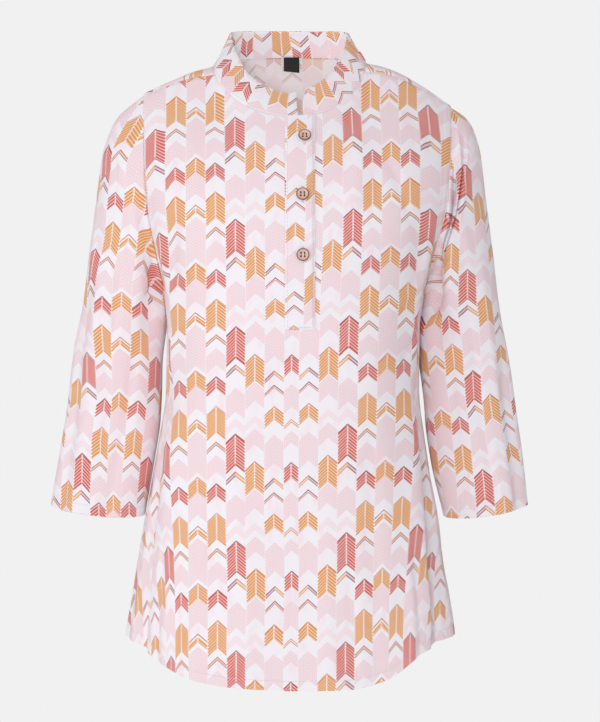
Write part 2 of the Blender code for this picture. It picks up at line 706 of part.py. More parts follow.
def collar_top(turn):
    """Points of the collar's upper edge, by the same angle."""
    wrapped = np.mod(np.asarray(turn, float) + 180, 360) - 180
    away = np.abs(wrapped)
    out = column(COLLAR_TOPS, "turn", "out")(away) * np.sign(wrapped)
    y = column(COLLAR_TOPS, "turn", "depth")(away)
    z = column(COLLAR_TOPS, "turn", "height")(away)
    return np.stack([out + COLLAR_SHIFT, y, z], -1)


def collar_turns():
    """Angles of the collar's columns at its foot, from the left end round the back."""
    low, high = notch_edges()
    start, end = COLLAR_ENDS[LEFT][0], 360 + COLLAR_ENDS[RIGHT][0]
    left_front = neck_rows(LEFT, "front", high)[1]
    left_back = neck_rows(LEFT, "back", BACK_STRIP_HALF)[1]
    right_front = neck_rows(RIGHT, "front", -low)[1]
    right_back = neck_rows(RIGHT, "back", BACK_STRIP_HALF)[1]
    over_placket = np.linspace(-right_front[0], COLLAR_ENDS[RIGHT][0], 4)[1:-1] + 360
    return np.concatenate([
        [start],
        left_front,
        left_back[-2::-1],
        [180.0],
        360 - right_back,
        360 - right_front[-2::-1],
        over_placket,
        [end],
    ])


def collar_points(rows=COLLAR_ROWS):
    up = np.linspace(0, 1, rows + 1)[:, None]
    foot_turn = collar_turns()[None, :]
    from_left = 1 - smooth_step(foot_turn, COLLAR_ENDS[LEFT][0], 60)
    from_right = smooth_step(foot_turn, 310, 360 + COLLAR_ENDS[RIGHT][0])
    lean_left = COLLAR_ENDS[LEFT][1] - COLLAR_ENDS[LEFT][0]
    lean_right = COLLAR_ENDS[RIGHT][1] - COLLAR_ENDS[RIGHT][0]
    top_turn = foot_turn + (lean_left * from_left + lean_right * from_right) * up
    foot, top = neck_point(foot_turn + 0 * up), collar_top(top_turn)
    length = np.linalg.norm(top - foot, axis=-1, keepdims=True)
    lifted = HALF_GAP / length
    along = lifted + (1 - lifted) * up[..., None]
    outward = np.stack([np.sin(np.radians(top_turn)), -np.cos(np.radians(top_turn)), 0 * top_turn], -1)
    bulge = COLLAR_BULGE * 4 * up * (1 - up)
    return foot + (top - foot) * along + outward * bulge[..., None]


def collar_band():
    points = collar_points()
    rows, columns = points.shape[:2]
    skin, faces = points.reshape(-1, 3), grid_faces(rows, columns)
    return cloth("collar_band", skin, faces, BAND_CLOTH, set_back=2 * EDGE_SET_BACK)


# ---------------------------------------------------------------- placket, buttons, label


def face_points(face, x, z, lift):
    """Front or back cloth points with these front-view coordinates, moved out by lift."""
    x, z = np.broadcast_arrays(np.asarray(x, float), np.asarray(z, float))
    right = surface(RIGHT, *place_of(RIGHT, np.abs(x), z, face), lift)
    left = surface(LEFT, *place_of(LEFT, np.abs(x), z, face), lift)
    return np.where((x < 0)[..., None], right, left)


def neck_height(x):
    """Height of the neckline in front at that x."""
    side = np.where(x < 0, NECK_HALF[RIGHT], NECK_HALF[LEFT])
    turn = np.degrees(np.arcsin(np.clip(np.abs(x) / side, 0, 1)))
    return neck_point(np.sign(x) * turn)[..., 2]


def placket_band(name, low_x, high_x, foot, lift, rows=16, columns=4):
    x = np.linspace(low_x, high_x, columns + 1)[None, :]
    top = neck_height(x) - SEAM_GAP
    z = foot + (top - foot) * np.linspace(0, 1, rows + 1)[:, None]
    points = face_points("front", x, z, lift)
    return cloth(name, points.reshape(-1, 3), grid_faces(rows + 1, columns + 1))


def outward_at(x, z):
    """A point on the front and its outward direction."""
    low, high = face_points("front", x, z, 0.0), face_points("front", x, z, 1.0)
    return low, high - low


def button(name, x, z):
    """A turned button with a raised rim, a dished middle and four holes."""
    mesh = bpy.data.meshes.new(name)
    shape = bmesh.new()
    across, up = BUTTON_RADIUS * METRES, BUTTON_HEIGHT * METRES
    ring = [shape.verts.new((p.out * across, 0, p.up * up)) for p in BUTTON_PROFILE]
    edges = [shape.edges.new(pair) for pair in zip(ring, ring[1:])]
    bmesh.ops.spin(
        shape, geom=ring + edges, cent=(0, 0, 0), axis=(0, 0, 1), angle=2 * math.pi, steps=28,
        use_merge=True, use_duplicate=False,
    )
    bmesh.ops.remove_doubles(shape, verts=shape.verts, dist=1e-6)
    bmesh.ops.recalc_face_normals(shape, faces=shape.faces)
    shape.to_mesh(mesh)
    shape.free()
    mesh.shade_smooth()
    mesh.set_sharp_from_angle(angle=math.radians(40))
    obj = bpy.data.objects.new(name, mesh)
    bpy.context.scene.collection.objects.link(obj)
    obj.data.materials.append(material(name, *WOOD_LOOK))
    drill = button_drill(name + "_drill")
    drill.parent = obj
    cut = obj.modifiers.new("holes", "BOOLEAN")
    cut.operation = "DIFFERENCE"
    cut.solver = "EXACT"
    cut.object = drill
    seat, outward = outward_at(x, z)
    stand_off = SEAM_GAP + CLOTH + SEAM_GAP
    obj.location = (seat + outward * stand_off) * METRES
    obj.rotation_mode = "QUATERNION"
    obj.rotation_quaternion = Vector(outward).to_track_quat("Z", "Y")
    return obj


def button_drill(name):
    """Four round pins that cut a button's holes."""
    shape = bmesh.new()
    for dx in (-1, 1):
        for dy in (-1, 1):
            made = bmesh.ops.create_cone(
                shape, cap_ends=True, segments=10, depth=4 * BUTTON_HEIGHT * METRES,
                radius1=BUTTON_HOLE_RADIUS * METRES, radius2=BUTTON_HOLE_RADIUS * METRES,
            )
            shift = (dx * BUTTON_HOLE_SPREAD * METRES, dy * BUTTON_HOLE_SPREAD * METRES, 0)
            bmesh.ops.translate(shape, verts=made["verts"], vec=shift)
    mesh = bpy.data.meshes.new(name)
    shape.to_mesh(mesh)
    shape.free()
    drill = bpy.data.objects.new(name, mesh)
    drill.hide_render = True
    drill.display_type = "WIRE"
    bpy.context.scene.collection.objects.link(drill)
    return drill


def neck_label():
    """The tag that hangs inside the back, below the collar seam."""
    x = np.linspace(*LABEL_EDGES, 4)[None, :]
    z = np.linspace(LABEL_FOOT, LABEL_TOP, 4)[:, None]
    points = face_points("back", x, z, -(CLOTH + SEAM_GAP))
    faces = [f[::-1] for f in grid_faces(4, 4)]
    return cloth("neck_label", points.reshape(-1, 3), faces, LABEL_CLOTH, look=LABEL_LOOK)


def build():
    for obj in list(bpy.data.objects):
        bpy.data.objects.remove(obj)
    front_panel()
    back_panel()
    sleeve(RIGHT, "sleeve_right")
    sleeve(LEFT, "sleeve_left")
    collar_band()
    low, high = PLACKET_EDGES
    placket_band("placket_overlap", low, high, PLACKET_FOOT - PLACKET_LAP, SEAM_GAP + CLOTH)
    inner = NOTCH_MARGIN + SEAM_GAP
    placket_band("placket_underlap", low + inner, high - inner, PLACKET_FOOT + SEAM_GAP, 0.0)
    for i, (x, z) in enumerate(BUTTON_SPOTS, 1):
        button(f"button_{i}", x, z)
    neck_label()


build()
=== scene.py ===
"""The looks of a toddler's band-collar kurta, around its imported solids.

The cloth pieces follow the same general figure as the solids, in millimetres: a point is
given by its side, its turn round the body (0 at the middle of the front or the back, 90
degrees at the side seam) and its rise, which goes up the front, over the shoulder and
down the back. Their points are written in metres at the end.
"""

import math
from collections import namedtuple

import bmesh
import bpy
import numpy as np
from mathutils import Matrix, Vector


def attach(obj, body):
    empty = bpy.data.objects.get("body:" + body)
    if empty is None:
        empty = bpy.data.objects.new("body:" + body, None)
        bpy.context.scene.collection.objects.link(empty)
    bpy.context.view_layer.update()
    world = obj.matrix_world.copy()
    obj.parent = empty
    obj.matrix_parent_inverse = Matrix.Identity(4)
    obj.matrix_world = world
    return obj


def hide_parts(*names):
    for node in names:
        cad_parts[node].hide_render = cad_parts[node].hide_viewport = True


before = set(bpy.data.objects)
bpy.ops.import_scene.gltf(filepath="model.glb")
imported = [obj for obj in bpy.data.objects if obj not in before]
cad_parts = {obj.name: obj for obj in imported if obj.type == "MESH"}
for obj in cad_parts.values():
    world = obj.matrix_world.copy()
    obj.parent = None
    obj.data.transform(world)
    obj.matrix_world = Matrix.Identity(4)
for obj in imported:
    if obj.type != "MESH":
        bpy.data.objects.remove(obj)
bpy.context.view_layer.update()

METRES = 0.001
CLOTH = 0.7  # the wall of one layer
TURN_UP = 0.6  # how much thicker the cloth is where it is turned up
TURN_UP_WIDTH = 8.0
TURN_UP_STEP = 0.6  # over which the turned-up cloth ends
HEM_DENT = 0.3  # how far its stitching presses it in
HEM_DENT_WIDTH = 1.1
HEM_DENT_FROM_STEP = 1
SEAM_DENT = 0.5
SEAM_DENT_WIDTH = 0.9
ALLOWANCE = 0.3  # the seam allowance lifts the cloth beside a seam
ALLOWANCE_WIDTH = 6.0
ALLOWANCE_START = (0.6, 2.0)
ALLOWANCE_STEP = 1  # half of what its end takes
LAYER = 1.5  # from one placket layer to the next

RIGHT, LEFT = -1, 1  # the wearer's sides, and the signs of X

# ---------------------------------------------------------------- the figure

Section = namedtuple("Section", "height right left front back square")
SECTIONS = (
    Section(-440, 116.0, 112.0, 84.0, 82.0, 2.8),
    Section(-388, 112.5, 109.0, 83.0, 80.0, 2.8),
    Section(-363, 108.0, 105.0, 82.0, 78.0, 2.9),
    Section(-336, 103.6, 99.8, 81.0, 76.0, 3.0),
    Section(-310, 100.0, 97.2, 80.0, 74.0, 3.0),
    Section(-258, 91.0, 89.5, 78.0, 69.0, 3.1),
    Section(-223, 86.0, 85.5, 76.0, 67.0, 3.1),
    Section(-180, 85.5, 86.0, 74.0, 67.0, 3.0),
    Section(-152, 88.5, 90.5, 73.0, 68.0, 2.8),
    Section(-128, 95.0, 98.0, 72.0, 69.0, 2.7),
    Section(-101, 103.0, 108.0, 70.0, 70.0, 2.6),
    Section(-60, 109.0, 115.0, 60.0, 69.0, 2.6),
    Section(-20, 111.0, 117.0, 42.0, 66.0, 2.6),
    Section(20, 112.0, 118.0, 36.0, 65.0, 2.6),
)

Ridge = namedtuple("Ridge", "out right left")
RIDGE = (  # the top of the shoulder, by the distance from the middle
    Ridge(0, 34.0, 34.0),
    Ridge(25, 28.0, 27.0),
    Ridge(38, 15.0, 13.0),
    Ridge(46, 4.5, 3.0),
    Ridge(51, -1.5, -1.2),
    Ridge(57, -3.8, -2.2),
    Ridge(67, -6.4, -5.3),
    Ridge(75, -9.5, -8.9),
    Ridge(83, -13.2, -13.6),
    Ridge(91, -16.8, -18.8),
    Ridge(100, -21.6, -25.2),
    Ridge(108, -27.2, -31.2),
    Ridge(130, -40.0, -46.0),
)

CHEST_HEIGHT = -110.0
RISE_PER_MM = 0.01
SEAM_RISE_AT_NECK = math.radians(71)
SEAM_RISE_AT_ARM = math.radians(86)

NECK_HALF = {RIGHT: 54.4, LEFT: 49.6}
NECK_FRONT_HEIGHT = -37.4
NECK_BACK_HEIGHT = 3.5
NECK_FRONT_POWER = {RIGHT: 1.25, LEFT: 1.0}
NECK_BACK_POWER = 0.5

UNDERARM_HEIGHT = -152.0
ARMHOLE_TOP_OUT = {RIGHT: 102.0, LEFT: 108.0}
ARMHOLE_ROUND = 2.6

HEM_HEIGHT = -427.0
HemRise = namedtuple("HemRise", "turn right left")
HEM_RISES = (
    HemRise(0, 0.0, 0.0),
    HemRise(18, 2.0, 0.8),
    HemRise(32, 6.8, 7.5),
    HemRise(45, 19.0, 25.0),
    HemRise(60, 31.0, 34.0),
    HemRise(75, 37.0, 38.0),
    HemRise(90, 39.0, 39.0),
)

PLACKET_EDGES = (-5.4, 15.0)
PLACKET_FOOT = -179.5
PLACKET_LAP = 2.7
NOTCH_MARGIN = 0.8
BUTTON_SPOTS = ((7.9, -51.6), (6.5, -90.8), (6.7, -131.4))
BUTTON_RADIUS = 4.4
BUTTON_HEIGHT = 1.9

CollarTop = namedtuple("CollarTop", "turn out depth height")
COLLAR_TOPS = (
    CollarTop(0, 0.0, -29.0, -21.5),
    CollarTop(25, 15.0, -27.0, -16.8),
    CollarTop(50, 27.5, -20.0, -8.0),
    CollarTop(70, 34.0, -10.0, 2.5),
    CollarTop(90, 38.5, 2.0, 12.5),
    CollarTop(115, 40.0, 17.0, 20.3),
    CollarTop(145, 27.0, 29.0, 21.5),
    CollarTop(180, 0.0, 33.5, 21.5),
)
COLLAR_SHIFT = -2.6
COLLAR_BULGE = 1.0
COLLAR_WALL = 1.4
COLLAR_ENDS = {RIGHT: (4.2, 8.0), LEFT: (8.6, 18.5)}  # turn at the foot and at the top

LABEL_EDGES = (-6.4, 4.4)
LABEL_TOP, LABEL_FOOT = 4.4, -5.0
LABEL_DROP = 0.1  # its foot hangs lower towards the wearer's left

Ring = namedtuple("Ring", "outer_x outer_z inner_x inner_z middle_y half_depth droop")
SLEEVES = {
    RIGHT: (
        Ring(102.0, -22.8, 88.5, -152.0, 0.0, 30.0, 0.0),
        Ring(120.5, -39.5, 90.0, -154.5, 1.0, 31.0, 0.0),
        Ring(129.5, -63.0, 90.6, -158.5, 3.0, 31.0, 0.0),
        Ring(134.2, -97.0, 90.2, -165.0, 5.0, 30.0, 0.5),
        Ring(138.8, -131.0, 89.4, -175.0, 7.0, 28.0, 1.0),
        Ring(142.8, -164.0, 88.8, -191.0, 8.0, 26.5, 1.5),
        Ring(149.5, -198.0, 88.8, -214.0, 7.0, 25.5, 2.0),
        Ring(153.4, -233.0, 89.8, -241.0, 3.0, 25.0, 3.0),
        Ring(158.6, -265.0, 94.0, -270.0, -2.0, 24.5, 4.0),
        Ring(164.6, -300.5, 100.3, -306.5, -8.0, 24.0, 5.0),
    ),
    LEFT: (
        Ring(108.0, -32.2, 90.5, -152.0, 0.0, 30.0, 0.0),
        Ring(119.5, -41.0, 92.0, -154.5, 1.0, 31.0, 0.0),
        Ring(127.0, -60.0, 92.4, -158.5, 3.0, 31.0, 0.0),
        Ring(131.5, -95.0, 91.8, -165.0, 5.0, 30.0, 0.5),
        Ring(136.2, -131.0, 90.6, -175.0, 7.0, 28.0, 1.0),
        Ring(140.2, -165.0, 89.6, -191.0, 8.0, 26.5, 1.5),
        Ring(145.8, -198.0, 89.0, -214.0, 7.0, 25.5, 2.0),
        Ring(150.2, -233.0, 89.6, -241.0, 3.0, 25.0, 3.0),
        Ring(154.8, -265.0, 93.4, -270.0, -2.0, 24.5, 4.0),
        Ring(158.6, -300.0, 102.0, -307.5, -8.0, 24.0, 5.0),
    ),
}
SLEEVE_SQUARE = 2.3
SLEEVE_LENGTH = 270.0
CAP_BLEND = 0.3
UNDERARM_TURN = 180  # degrees round the sleeve, where its seam is

# ---------------------------------------------------------------- folds

BODY_MM_PER_DEGREE = 1.55
SLEEVE_MM_PER_DEGREE = 0.5
SIDE_SEAM_FADE = (80, 90)
ARMHOLE_FADE = 0.16  # radians of turn in which the folds die out before the armhole
NEAR_CUFF = 0.9

# The shares of a fold's length over which it swells and dies out.
BODY_FOLD_STARTS, BODY_FOLD_ENDS = (-0.12, 0.3), (0.85, 1.12)
SLEEVE_FOLD_STARTS, SLEEVE_FOLD_ENDS = (-0.05, 0.3), (0.7, 1.05)
SLEEVE_FOLD_FROM_SEAM = (0.0, 0.06)

# A fold is a ridge (height above 0) or a trough along a line, soft at both ends.
BodyFold = namedtuple("BodyFold", "side face top_turn top_z foot_turn foot_z width height")
BODY_FOLDS = (
    BodyFold(RIGHT, "front", 55, -235, 41, -440, 9, 3.0),
    BodyFold(RIGHT, "front", 67, -262, 54, -440, 9, -4.5),
    BodyFold(RIGHT, "front", 78, -300, 72, -440, 8, 2.0),
    BodyFold(LEFT, "front", 57, -215, 42, -430, 9, 3.4),
    BodyFold(LEFT, "front", 68, -240, 53, -440, 8, -5.0),
    BodyFold(LEFT, "front", 79, -285, 70, -440, 8, 2.6),
    BodyFold(RIGHT, "front", 62, -120, 60, -215, 9, 2.6),
    BodyFold(LEFT, "front", 62, -115, 60, -205, 9, 2.6),
    BodyFold(LEFT, "front", 24, -52, 20, -100, 6, 1.6),
    BodyFold(RIGHT, "front", 45, -95, 58, -150, 8, -1.6),
    BodyFold(LEFT, "front", 47, -100, 58, -150, 8, -1.6),
    BodyFold(RIGHT, "back", 52, -225, 40, -440, 10, 3.2),
    BodyFold(RIGHT, "back", 66, -255, 56, -440, 9, -4.0),
    BodyFold(LEFT, "back", 54, -215, 42, -440, 10, 3.2),
    BodyFold(LEFT, "back", 68, -245, 57, -440, 9, -4.0),
    BodyFold(RIGHT, "back", 20, -190, 17, -440, 11, -2.4),
    BodyFold(LEFT, "back", 14, -170, 18, -440, 11, 2.2),
    BodyFold(RIGHT, "back", 48, -90, 60, -160, 9, -2.0),
    BodyFold(LEFT, "back", 48, -90, 60, -160, 9, -2.0),
)
BODY_CREASES = (  # the finer ones, which the solids don't have
    BodyFold(RIGHT, "front", 80, -150, 52, -196, 3.6, -1.1),
    BodyFold(RIGHT, "front", 84, -162, 66, -226, 3.2, -1.3),
    BodyFold(RIGHT, "front", 70, -128, 40, -150, 4.2, 0.8),
    BodyFold(RIGHT, "front", 30, -250, 26, -440, 5.5, -0.9),
    BodyFold(RIGHT, "front", 17, -300, 14, -440, 5.0, 0.7),
    BodyFold(RIGHT, "front", 47, -320, 46, -440, 3.6, -0.8),
    BodyFold(RIGHT, "front", 24, -52, 36, -92, 3.8, -0.8),
    BodyFold(RIGHT, "front", 62, -60, 66, -118, 3.4, 0.9),
    BodyFold(RIGHT, "front", 36, -205, 12, -238, 4.5, -0.6),
    BodyFold(LEFT, "front", 82, -146, 50, -204, 3.8, -1.5),
    BodyFold(LEFT, "front", 86, -160, 60, -238, 3.4, -1.6),
    BodyFold(LEFT, "front", 76, -132, 42, -172, 4.4, 1.0),
    BodyFold(LEFT, "front", 33, -235, 27, -440, 5.5, -1.0),
    BodyFold(LEFT, "front", 14, -290, 12, -440, 5.0, 0.8),
    BodyFold(LEFT, "front", 21, -345, 22, -440, 3.4, -0.7),
    BodyFold(LEFT, "front", 49, -310, 47, -440, 3.4, -0.8),
    BodyFold(LEFT, "front", 30, -60, 44, -108, 3.6, -0.9),
    BodyFold(LEFT, "front", 60, -70, 68, -122, 3.4, 0.9),
    BodyFold(LEFT, "front", 12, -196, 30, -230, 4.5, -0.6),
    BodyFold(RIGHT, "back", 82, -148, 54, -210, 3.8, -1.3),
    BodyFold(RIGHT, "back", 32, -240, 28, -440, 5.5, -0.9),
    BodyFold(RIGHT, "back", 10, -300, 8, -440, 4.6, 0.8),
    BodyFold(RIGHT, "back", 60, -70, 66, -128, 3.6, 0.9),
    BodyFold(RIGHT, "back", 26, -46, 40, -96, 4.2, -0.8),
    BodyFold(RIGHT, "back", 46, -325, 46, -440, 3.4, -0.7),
    BodyFold(LEFT, "back", 83, -150, 52, -196, 3.6, -1.2),
    BodyFold(LEFT, "back", 30, -225, 30, -440, 5.5, -1.0),
    BodyFold(LEFT, "back", 58, -64, 68, -116, 3.6, 0.9),
    BodyFold(LEFT, "back", 22, -50, 38, -104, 4.2, -0.8),
    BodyFold(LEFT, "back", 49, -300, 47, -440, 3.4, -0.8),
    BodyFold(RIGHT, "front", 49, -318, 46, -450, 2.4, -2.2),
    BodyFold(RIGHT, "front", 56, -300, 51, -450, 2.6, 1.6),
    BodyFold(RIGHT, "front", 62, -290, 56, -450, 2.4, -1.9),
    BodyFold(RIGHT, "front", 71, -280, 63, -450, 2.8, 1.4),
    BodyFold(RIGHT, "front", 76, -300, 69, -450, 2.6, -1.8),
    BodyFold(LEFT, "front", 47, -322, 43, -450, 2.4, -2.4),
    BodyFold(LEFT, "front", 53, -300, 48, -450, 2.6, 1.6),
    BodyFold(LEFT, "front", 62, -280, 58, -450, 2.4, -1.8),
    BodyFold(LEFT, "front", 72, -290, 64, -450, 2.8, 1.4),
    BodyFold(LEFT, "front", 77, -310, 70, -450, 2.6, -1.6),
)

SleeveFold = namedtuple("SleeveFold", "side top_turn top_along foot_turn foot_along width height")
SLEEVE_FOLDS = (
    SleeveFold(RIGHT, 28, 0.46, 40, 0.97, 7, -3.0),
    SleeveFold(RIGHT, 52, 0.42, 60, 0.97, 9, 2.2),
    SleeveFold(RIGHT, 140, 0.10, 128, 0.62, 8, -3.2),
    SleeveFold(RIGHT, 104, 0.06, 96, 0.40, 9, 2.0),
    SleeveFold(RIGHT, 62, 0.10, 20, 0.30, 8, -1.8),
    SleeveFold(RIGHT, 300, 0.40, 312, 0.97, 9, -2.4),
    SleeveFold(RIGHT, 225, 0.12, 240, 0.60, 9, -2.6),
    SleeveFold(LEFT, 30, 0.60, 38, 1.05, 7, -2.8),
    SleeveFold(LEFT, 12, 0.62, 16, 1.05, 7, 1.6),
    SleeveFold(LEFT, 142, 0.10, 122, 0.66, 9, -3.6),
    SleeveFold(LEFT, 108, 0.06, 98, 0.50, 9, 2.4),
    SleeveFold(LEFT, 66, 0.10, 30, 0.34, 8, -1.8),
    SleeveFold(LEFT, 305, 0.45, 315, 0.97, 9, -2.4),
    SleeveFold(LEFT, 228, 0.12, 242, 0.60, 9, -2.6),
)
SLEEVE_CREASES = (
    SleeveFold(RIGHT, 150, 0.16, 100, 0.34, 3.4, -1.2),
    SleeveFold(RIGHT, 158, 0.24, 112, 0.46, 3.0, -1.3),
    SleeveFold(RIGHT, 84, 0.28, 74, 0.78, 3.2, -0.9),
    SleeveFold(RIGHT, 112, 0.55, 100, 0.98, 3.4, -1.0),
    SleeveFold(RIGHT, 44, 0.10, 78, 0.24, 3.2, 0.9),
    SleeveFold(RIGHT, 24, 0.30, 34, 0.60, 3.0, 0.8),
    SleeveFold(RIGHT, 208, 0.20, 246, 0.40, 3.4, -1.1),
    SleeveFold(RIGHT, 278, 0.30, 288, 0.90, 3.6, -0.9),
    SleeveFold(RIGHT, 330, 0.14, 318, 0.44, 3.4, 0.8),
    SleeveFold(RIGHT, 252, 0.56, 262, 0.98, 3.4, -0.9),
    SleeveFold(LEFT, 152, 0.14, 104, 0.30, 3.4, -1.4),
    SleeveFold(LEFT, 156, 0.22, 116, 0.44, 3.0, -1.5),
    SleeveFold(LEFT, 88, 0.20, 66, 0.42, 3.4, 1.0),
    SleeveFold(LEFT, 80, 0.46, 72, 0.98, 3.2, -1.0),
    SleeveFold(LEFT, 112, 0.58, 104, 0.98, 3.4, -1.1),
    SleeveFold(LEFT, 46, 0.12, 84, 0.26, 3.2, 0.9),
    SleeveFold(LEFT, 52, 0.40, 48, 0.98, 3.2, 0.9),
    SleeveFold(LEFT, 210, 0.20, 244, 0.38, 3.4, -1.1),
    SleeveFold(LEFT, 276, 0.34, 284, 0.92, 3.6, -0.9),
    SleeveFold(LEFT, 328, 0.16, 320, 0.46, 3.4, 0.8),
    SleeveFold(RIGHT, 170, -0.10, 176, 0.62, 12, 4.6),
    SleeveFold(RIGHT, 143, 0.02, 150, 0.38, 5.0, -4.5),
    SleeveFold(LEFT, 170, -0.10, 178, 0.74, 12, 6.6),
    SleeveFold(LEFT, 147, -0.05, 152, 0.50, 9.0, -9.0),
    SleeveFold(LEFT, 28, 0.07, 140, 0.26, 5.0, -3.6),
    SleeveFold(LEFT, 44, -0.02, 164, 0.23, 7.0, -8.0),
    SleeveFold(LEFT, 20, 0.02, 132, 0.19, 4.5, 3.2),
)

# ---------------------------------------------------------------- the print

# The cloth's own coordinates are in millimetres: u across, from the middle of the front
# and growing to the wearer's left, and v down. Columns of arrow feathers stand side by
# side: F A are the mirror lines of the repeat, and B to E come twice in it.
HALF_REPEAT = 64.77
F_HALF = 5.1
COLUMN_WIDTH = 13.26
PERIOD = 72.76
POINT_SLOPE = 0.87  # how steeply the arrow heads fall away from their middle line
ROW_SKEW = 0.0945  # the rows climb this much towards the wearer's left
V_AT_ORIGIN = 42.9

# Each column's stripes down one repeat. A start is in steps, of which a repeat has 107,
# and the last stripe runs on to the first one's start.
STEPS = 107
Stripe = namedtuple("Stripe", "start ink fill")
PRINT = {
    "F": (
        Stripe(2.5, "pink", "dotted"),
        Stripe(14.0, "white", "plain"),
        Stripe(33.4, "maroon", "line"),
        Stripe(34.4, "red", "feather"),
        Stripe(48.7, "white", "plain"),
        Stripe(62.6, "pink", "dotted"),
        Stripe(85.6, "white", "plain"),
        Stripe(97.4, "rust", "line"),
        Stripe(98.6, "white", "plain"),
        Stripe(99.6, "orange", "line"),
        Stripe(100.8, "white", "plain"),
    ),
    "E": (
        Stripe(4.6, "pink", "dotted"),
        Stripe(33.3, "white", "plain"),
        Stripe(47.3, "maroon", "two_tone"),
        Stripe(48.5, "maroon", "two_tone_wash"),
        Stripe(50.7, "maroon", "two_tone"),
        Stripe(51.8, "white", "plain"),
        Stripe(61.6, "maroon", "line"),
        Stripe(62.9, "white", "plain"),
        Stripe(63.7, "coral", "line"),
        Stripe(65.0, "white", "plain"),
        Stripe(82.9, "rust", "line"),
        Stripe(83.8, "orange", "feather"),
        Stripe(96.3, "white", "plain"),
    ),
    "D": (
        Stripe(12.4, "white", "plain"),
        Stripe(28.9, "rust", "line"),
        Stripe(29.8, "orange", "feather"),
        Stripe(55.3, "white", "plain"),
        Stripe(57.2, "pink", "dotted"),
        Stripe(76.3, "white", "plain"),
        Stripe(90.5, "blush", "dotted"),
        Stripe(97.5, "white", "plain"),
        Stripe(104.1, "pink", "dotted"),
    ),
    "C": (
        Stripe(0.0, "maroon", "line"),
        Stripe(1.0, "red", "feather"),
        Stripe(30.8, "maroon", "line"),
        Stripe(31.7, "white", "plain"),
        Stripe(38.0, "maroon", "two_tone"),
        Stripe(39.2, "maroon", "two_tone_wash"),
        Stripe(41.6, "maroon", "two_tone"),
        Stripe(42.8, "white", "plain"),
        Stripe(61.2, "pink", "dotted"),
        Stripe(85.1, "white", "plain"),
        Stripe(91.8, "blush", "dotted"),
        Stripe(99.5, "white", "plain"),
    ),
    "B": (
        Stripe(6.2, "rust", "line"),
        Stripe(7.2, "orange", "wash"),
        Stripe(8.8, "maroon", "line"),
        Stripe(9.9, "white", "plain"),
        Stripe(19.9, "pink", "dotted"),
        Stripe(36.4, "white", "plain"),
        Stripe(47.9, "maroon", "line"),
        Stripe(49.0, "red", "feather"),
        Stripe(60.3, "white", "plain"),
        Stripe(77.5, "rust", "line"),
        Stripe(78.3, "orange", "feather"),
        Stripe(104.3, "white", "plain"),
    ),
    "A": (
        Stripe(35.9, "white", "plain"),
        Stripe(39.9, "rust", "line"),
        Stripe(40.8, "orange", "feather"),
        Stripe(54.9, "pink", "dotted"),
        Stripe(78.0, "white", "plain"),
        Stripe(88.9, "rust", "line"),
        Stripe(90.0, "white", "plain"),
        Stripe(91.9, "orange", "feather"),
        Stripe(97.2, "white", "plain"),
        Stripe(101.4, "pink", "dotted"),
    ),
}
FILLS = {  # the number that stands for each kind of fill in the ramps
    "plain": 0.0, "wash": 0.15, "two_tone_wash": 0.28, "dotted": 0.4,
    "feather": 0.7, "two_tone": 0.85, "line": 1.0,
}
SOLID_FROM = 0.8  # fills above this are solid ink
INKS = {  # in sRGB
    "white": (1.0, 1.0, 1.0),
    "pink": (0.945, 0.85, 0.872),
    "blush": (0.960, 0.890, 0.910),
    "orange": (0.90, 0.60, 0.20),
    "rust": (0.800, 0.470, 0.290),
    "red": (0.85, 0.365, 0.275),
    "maroon": (0.600, 0.270, 0.290),
    "coral": (0.900, 0.560, 0.540),
}
BARB, SLEEVE_BARB = 2.15, 2.4  # from one fine line of a feather to the next
GAP_INK = 0.45  # the ink left between two of those lines
SERRATION = 0.7  # how far the gaps reach in from a feather's sides
SPINE_HALF = 0.5
SPINE_DOT = 1.9
SPINE_LIGHT = 0.85
DOT = 1.5
DOT_LIGHT = 0.7
WASH_INK = 0.38
COLUMN_GAP = 0.15
WANDER_SCALE, WANDER_DETAIL = 0.35, 2.0  # the printer's unsteady hand
WANDER_ACROSS, WANDER_DOWN = 0.5, 0.35
GAP_EDGE = (0.5, 0.72)  # shares of the way from a line's middle to the next gap's
TOOTH_EDGE = (0.3, 0.7)
BEAD_EDGE = (0.25, 0.5)
SAME_FILL = 0.05  # fills closer than this are the same

# ---------------------------------------------------------------- mesh density

FINE_EDGE = np.array([0.0, 0.4, 0.8, 1.3, 2.0, 2.8, 3.8, 5.0])  # rows in from a seam
HEM_ROWS = np.arange(0.0, 13.0, 1.0)
ROWS_TO_UNDERARM = 92
ROWS_TO_SHOULDER = 84
COLUMNS = 92
STRIP_COLUMNS = 12
BACK_STRIP_HALF = 6.0
SLEEVE_RINGS = 128
COLLAR_ROWS = 22
COLLAR_COLUMNS = 300
HALF_PANEL_WIDTH, COLLAR_HEIGHT = 150.0, 24.0  # about, for the rows beside their seams


def smooth_line(keys, values):
    """A function through the points that keeps each stretch between its two ends."""
    keys, values = np.asarray(keys, float), np.asarray(values, float)
    step = np.diff(keys)
    slope = np.diff(values) / step
    tangent = np.zeros(len(keys))
    same_way = slope[:-1] * slope[1:] > 0
    weight = np.where(same_way, slope[:-1] * slope[1:], 0.0)
    total = np.where(same_way, slope[:-1] + slope[1:], 1)
    tangent[1:-1] = np.where(same_way, 2 * weight / total, 0)
    tangent[0], tangent[-1] = slope[0], slope[-1]

    def at(key):
        key = np.clip(np.asarray(key, float), keys[0], keys[-1])
        i = np.clip(np.searchsorted(keys, key, side="right") - 1, 0, len(step) - 1)
        t = (key - keys[i]) / step[i]
        rise = values[i + 1] - values[i]
        a = step[i] * tangent[i] - rise
        b = rise - step[i] * tangent[i + 1]
        return values[i] + t * rise + t * (1 - t) * ((1 - t) * a + t * b)

    return at


def column(rows, key, value):
    return smooth_line([getattr(r, key) for r in rows], [getattr(r, value) for r in rows])


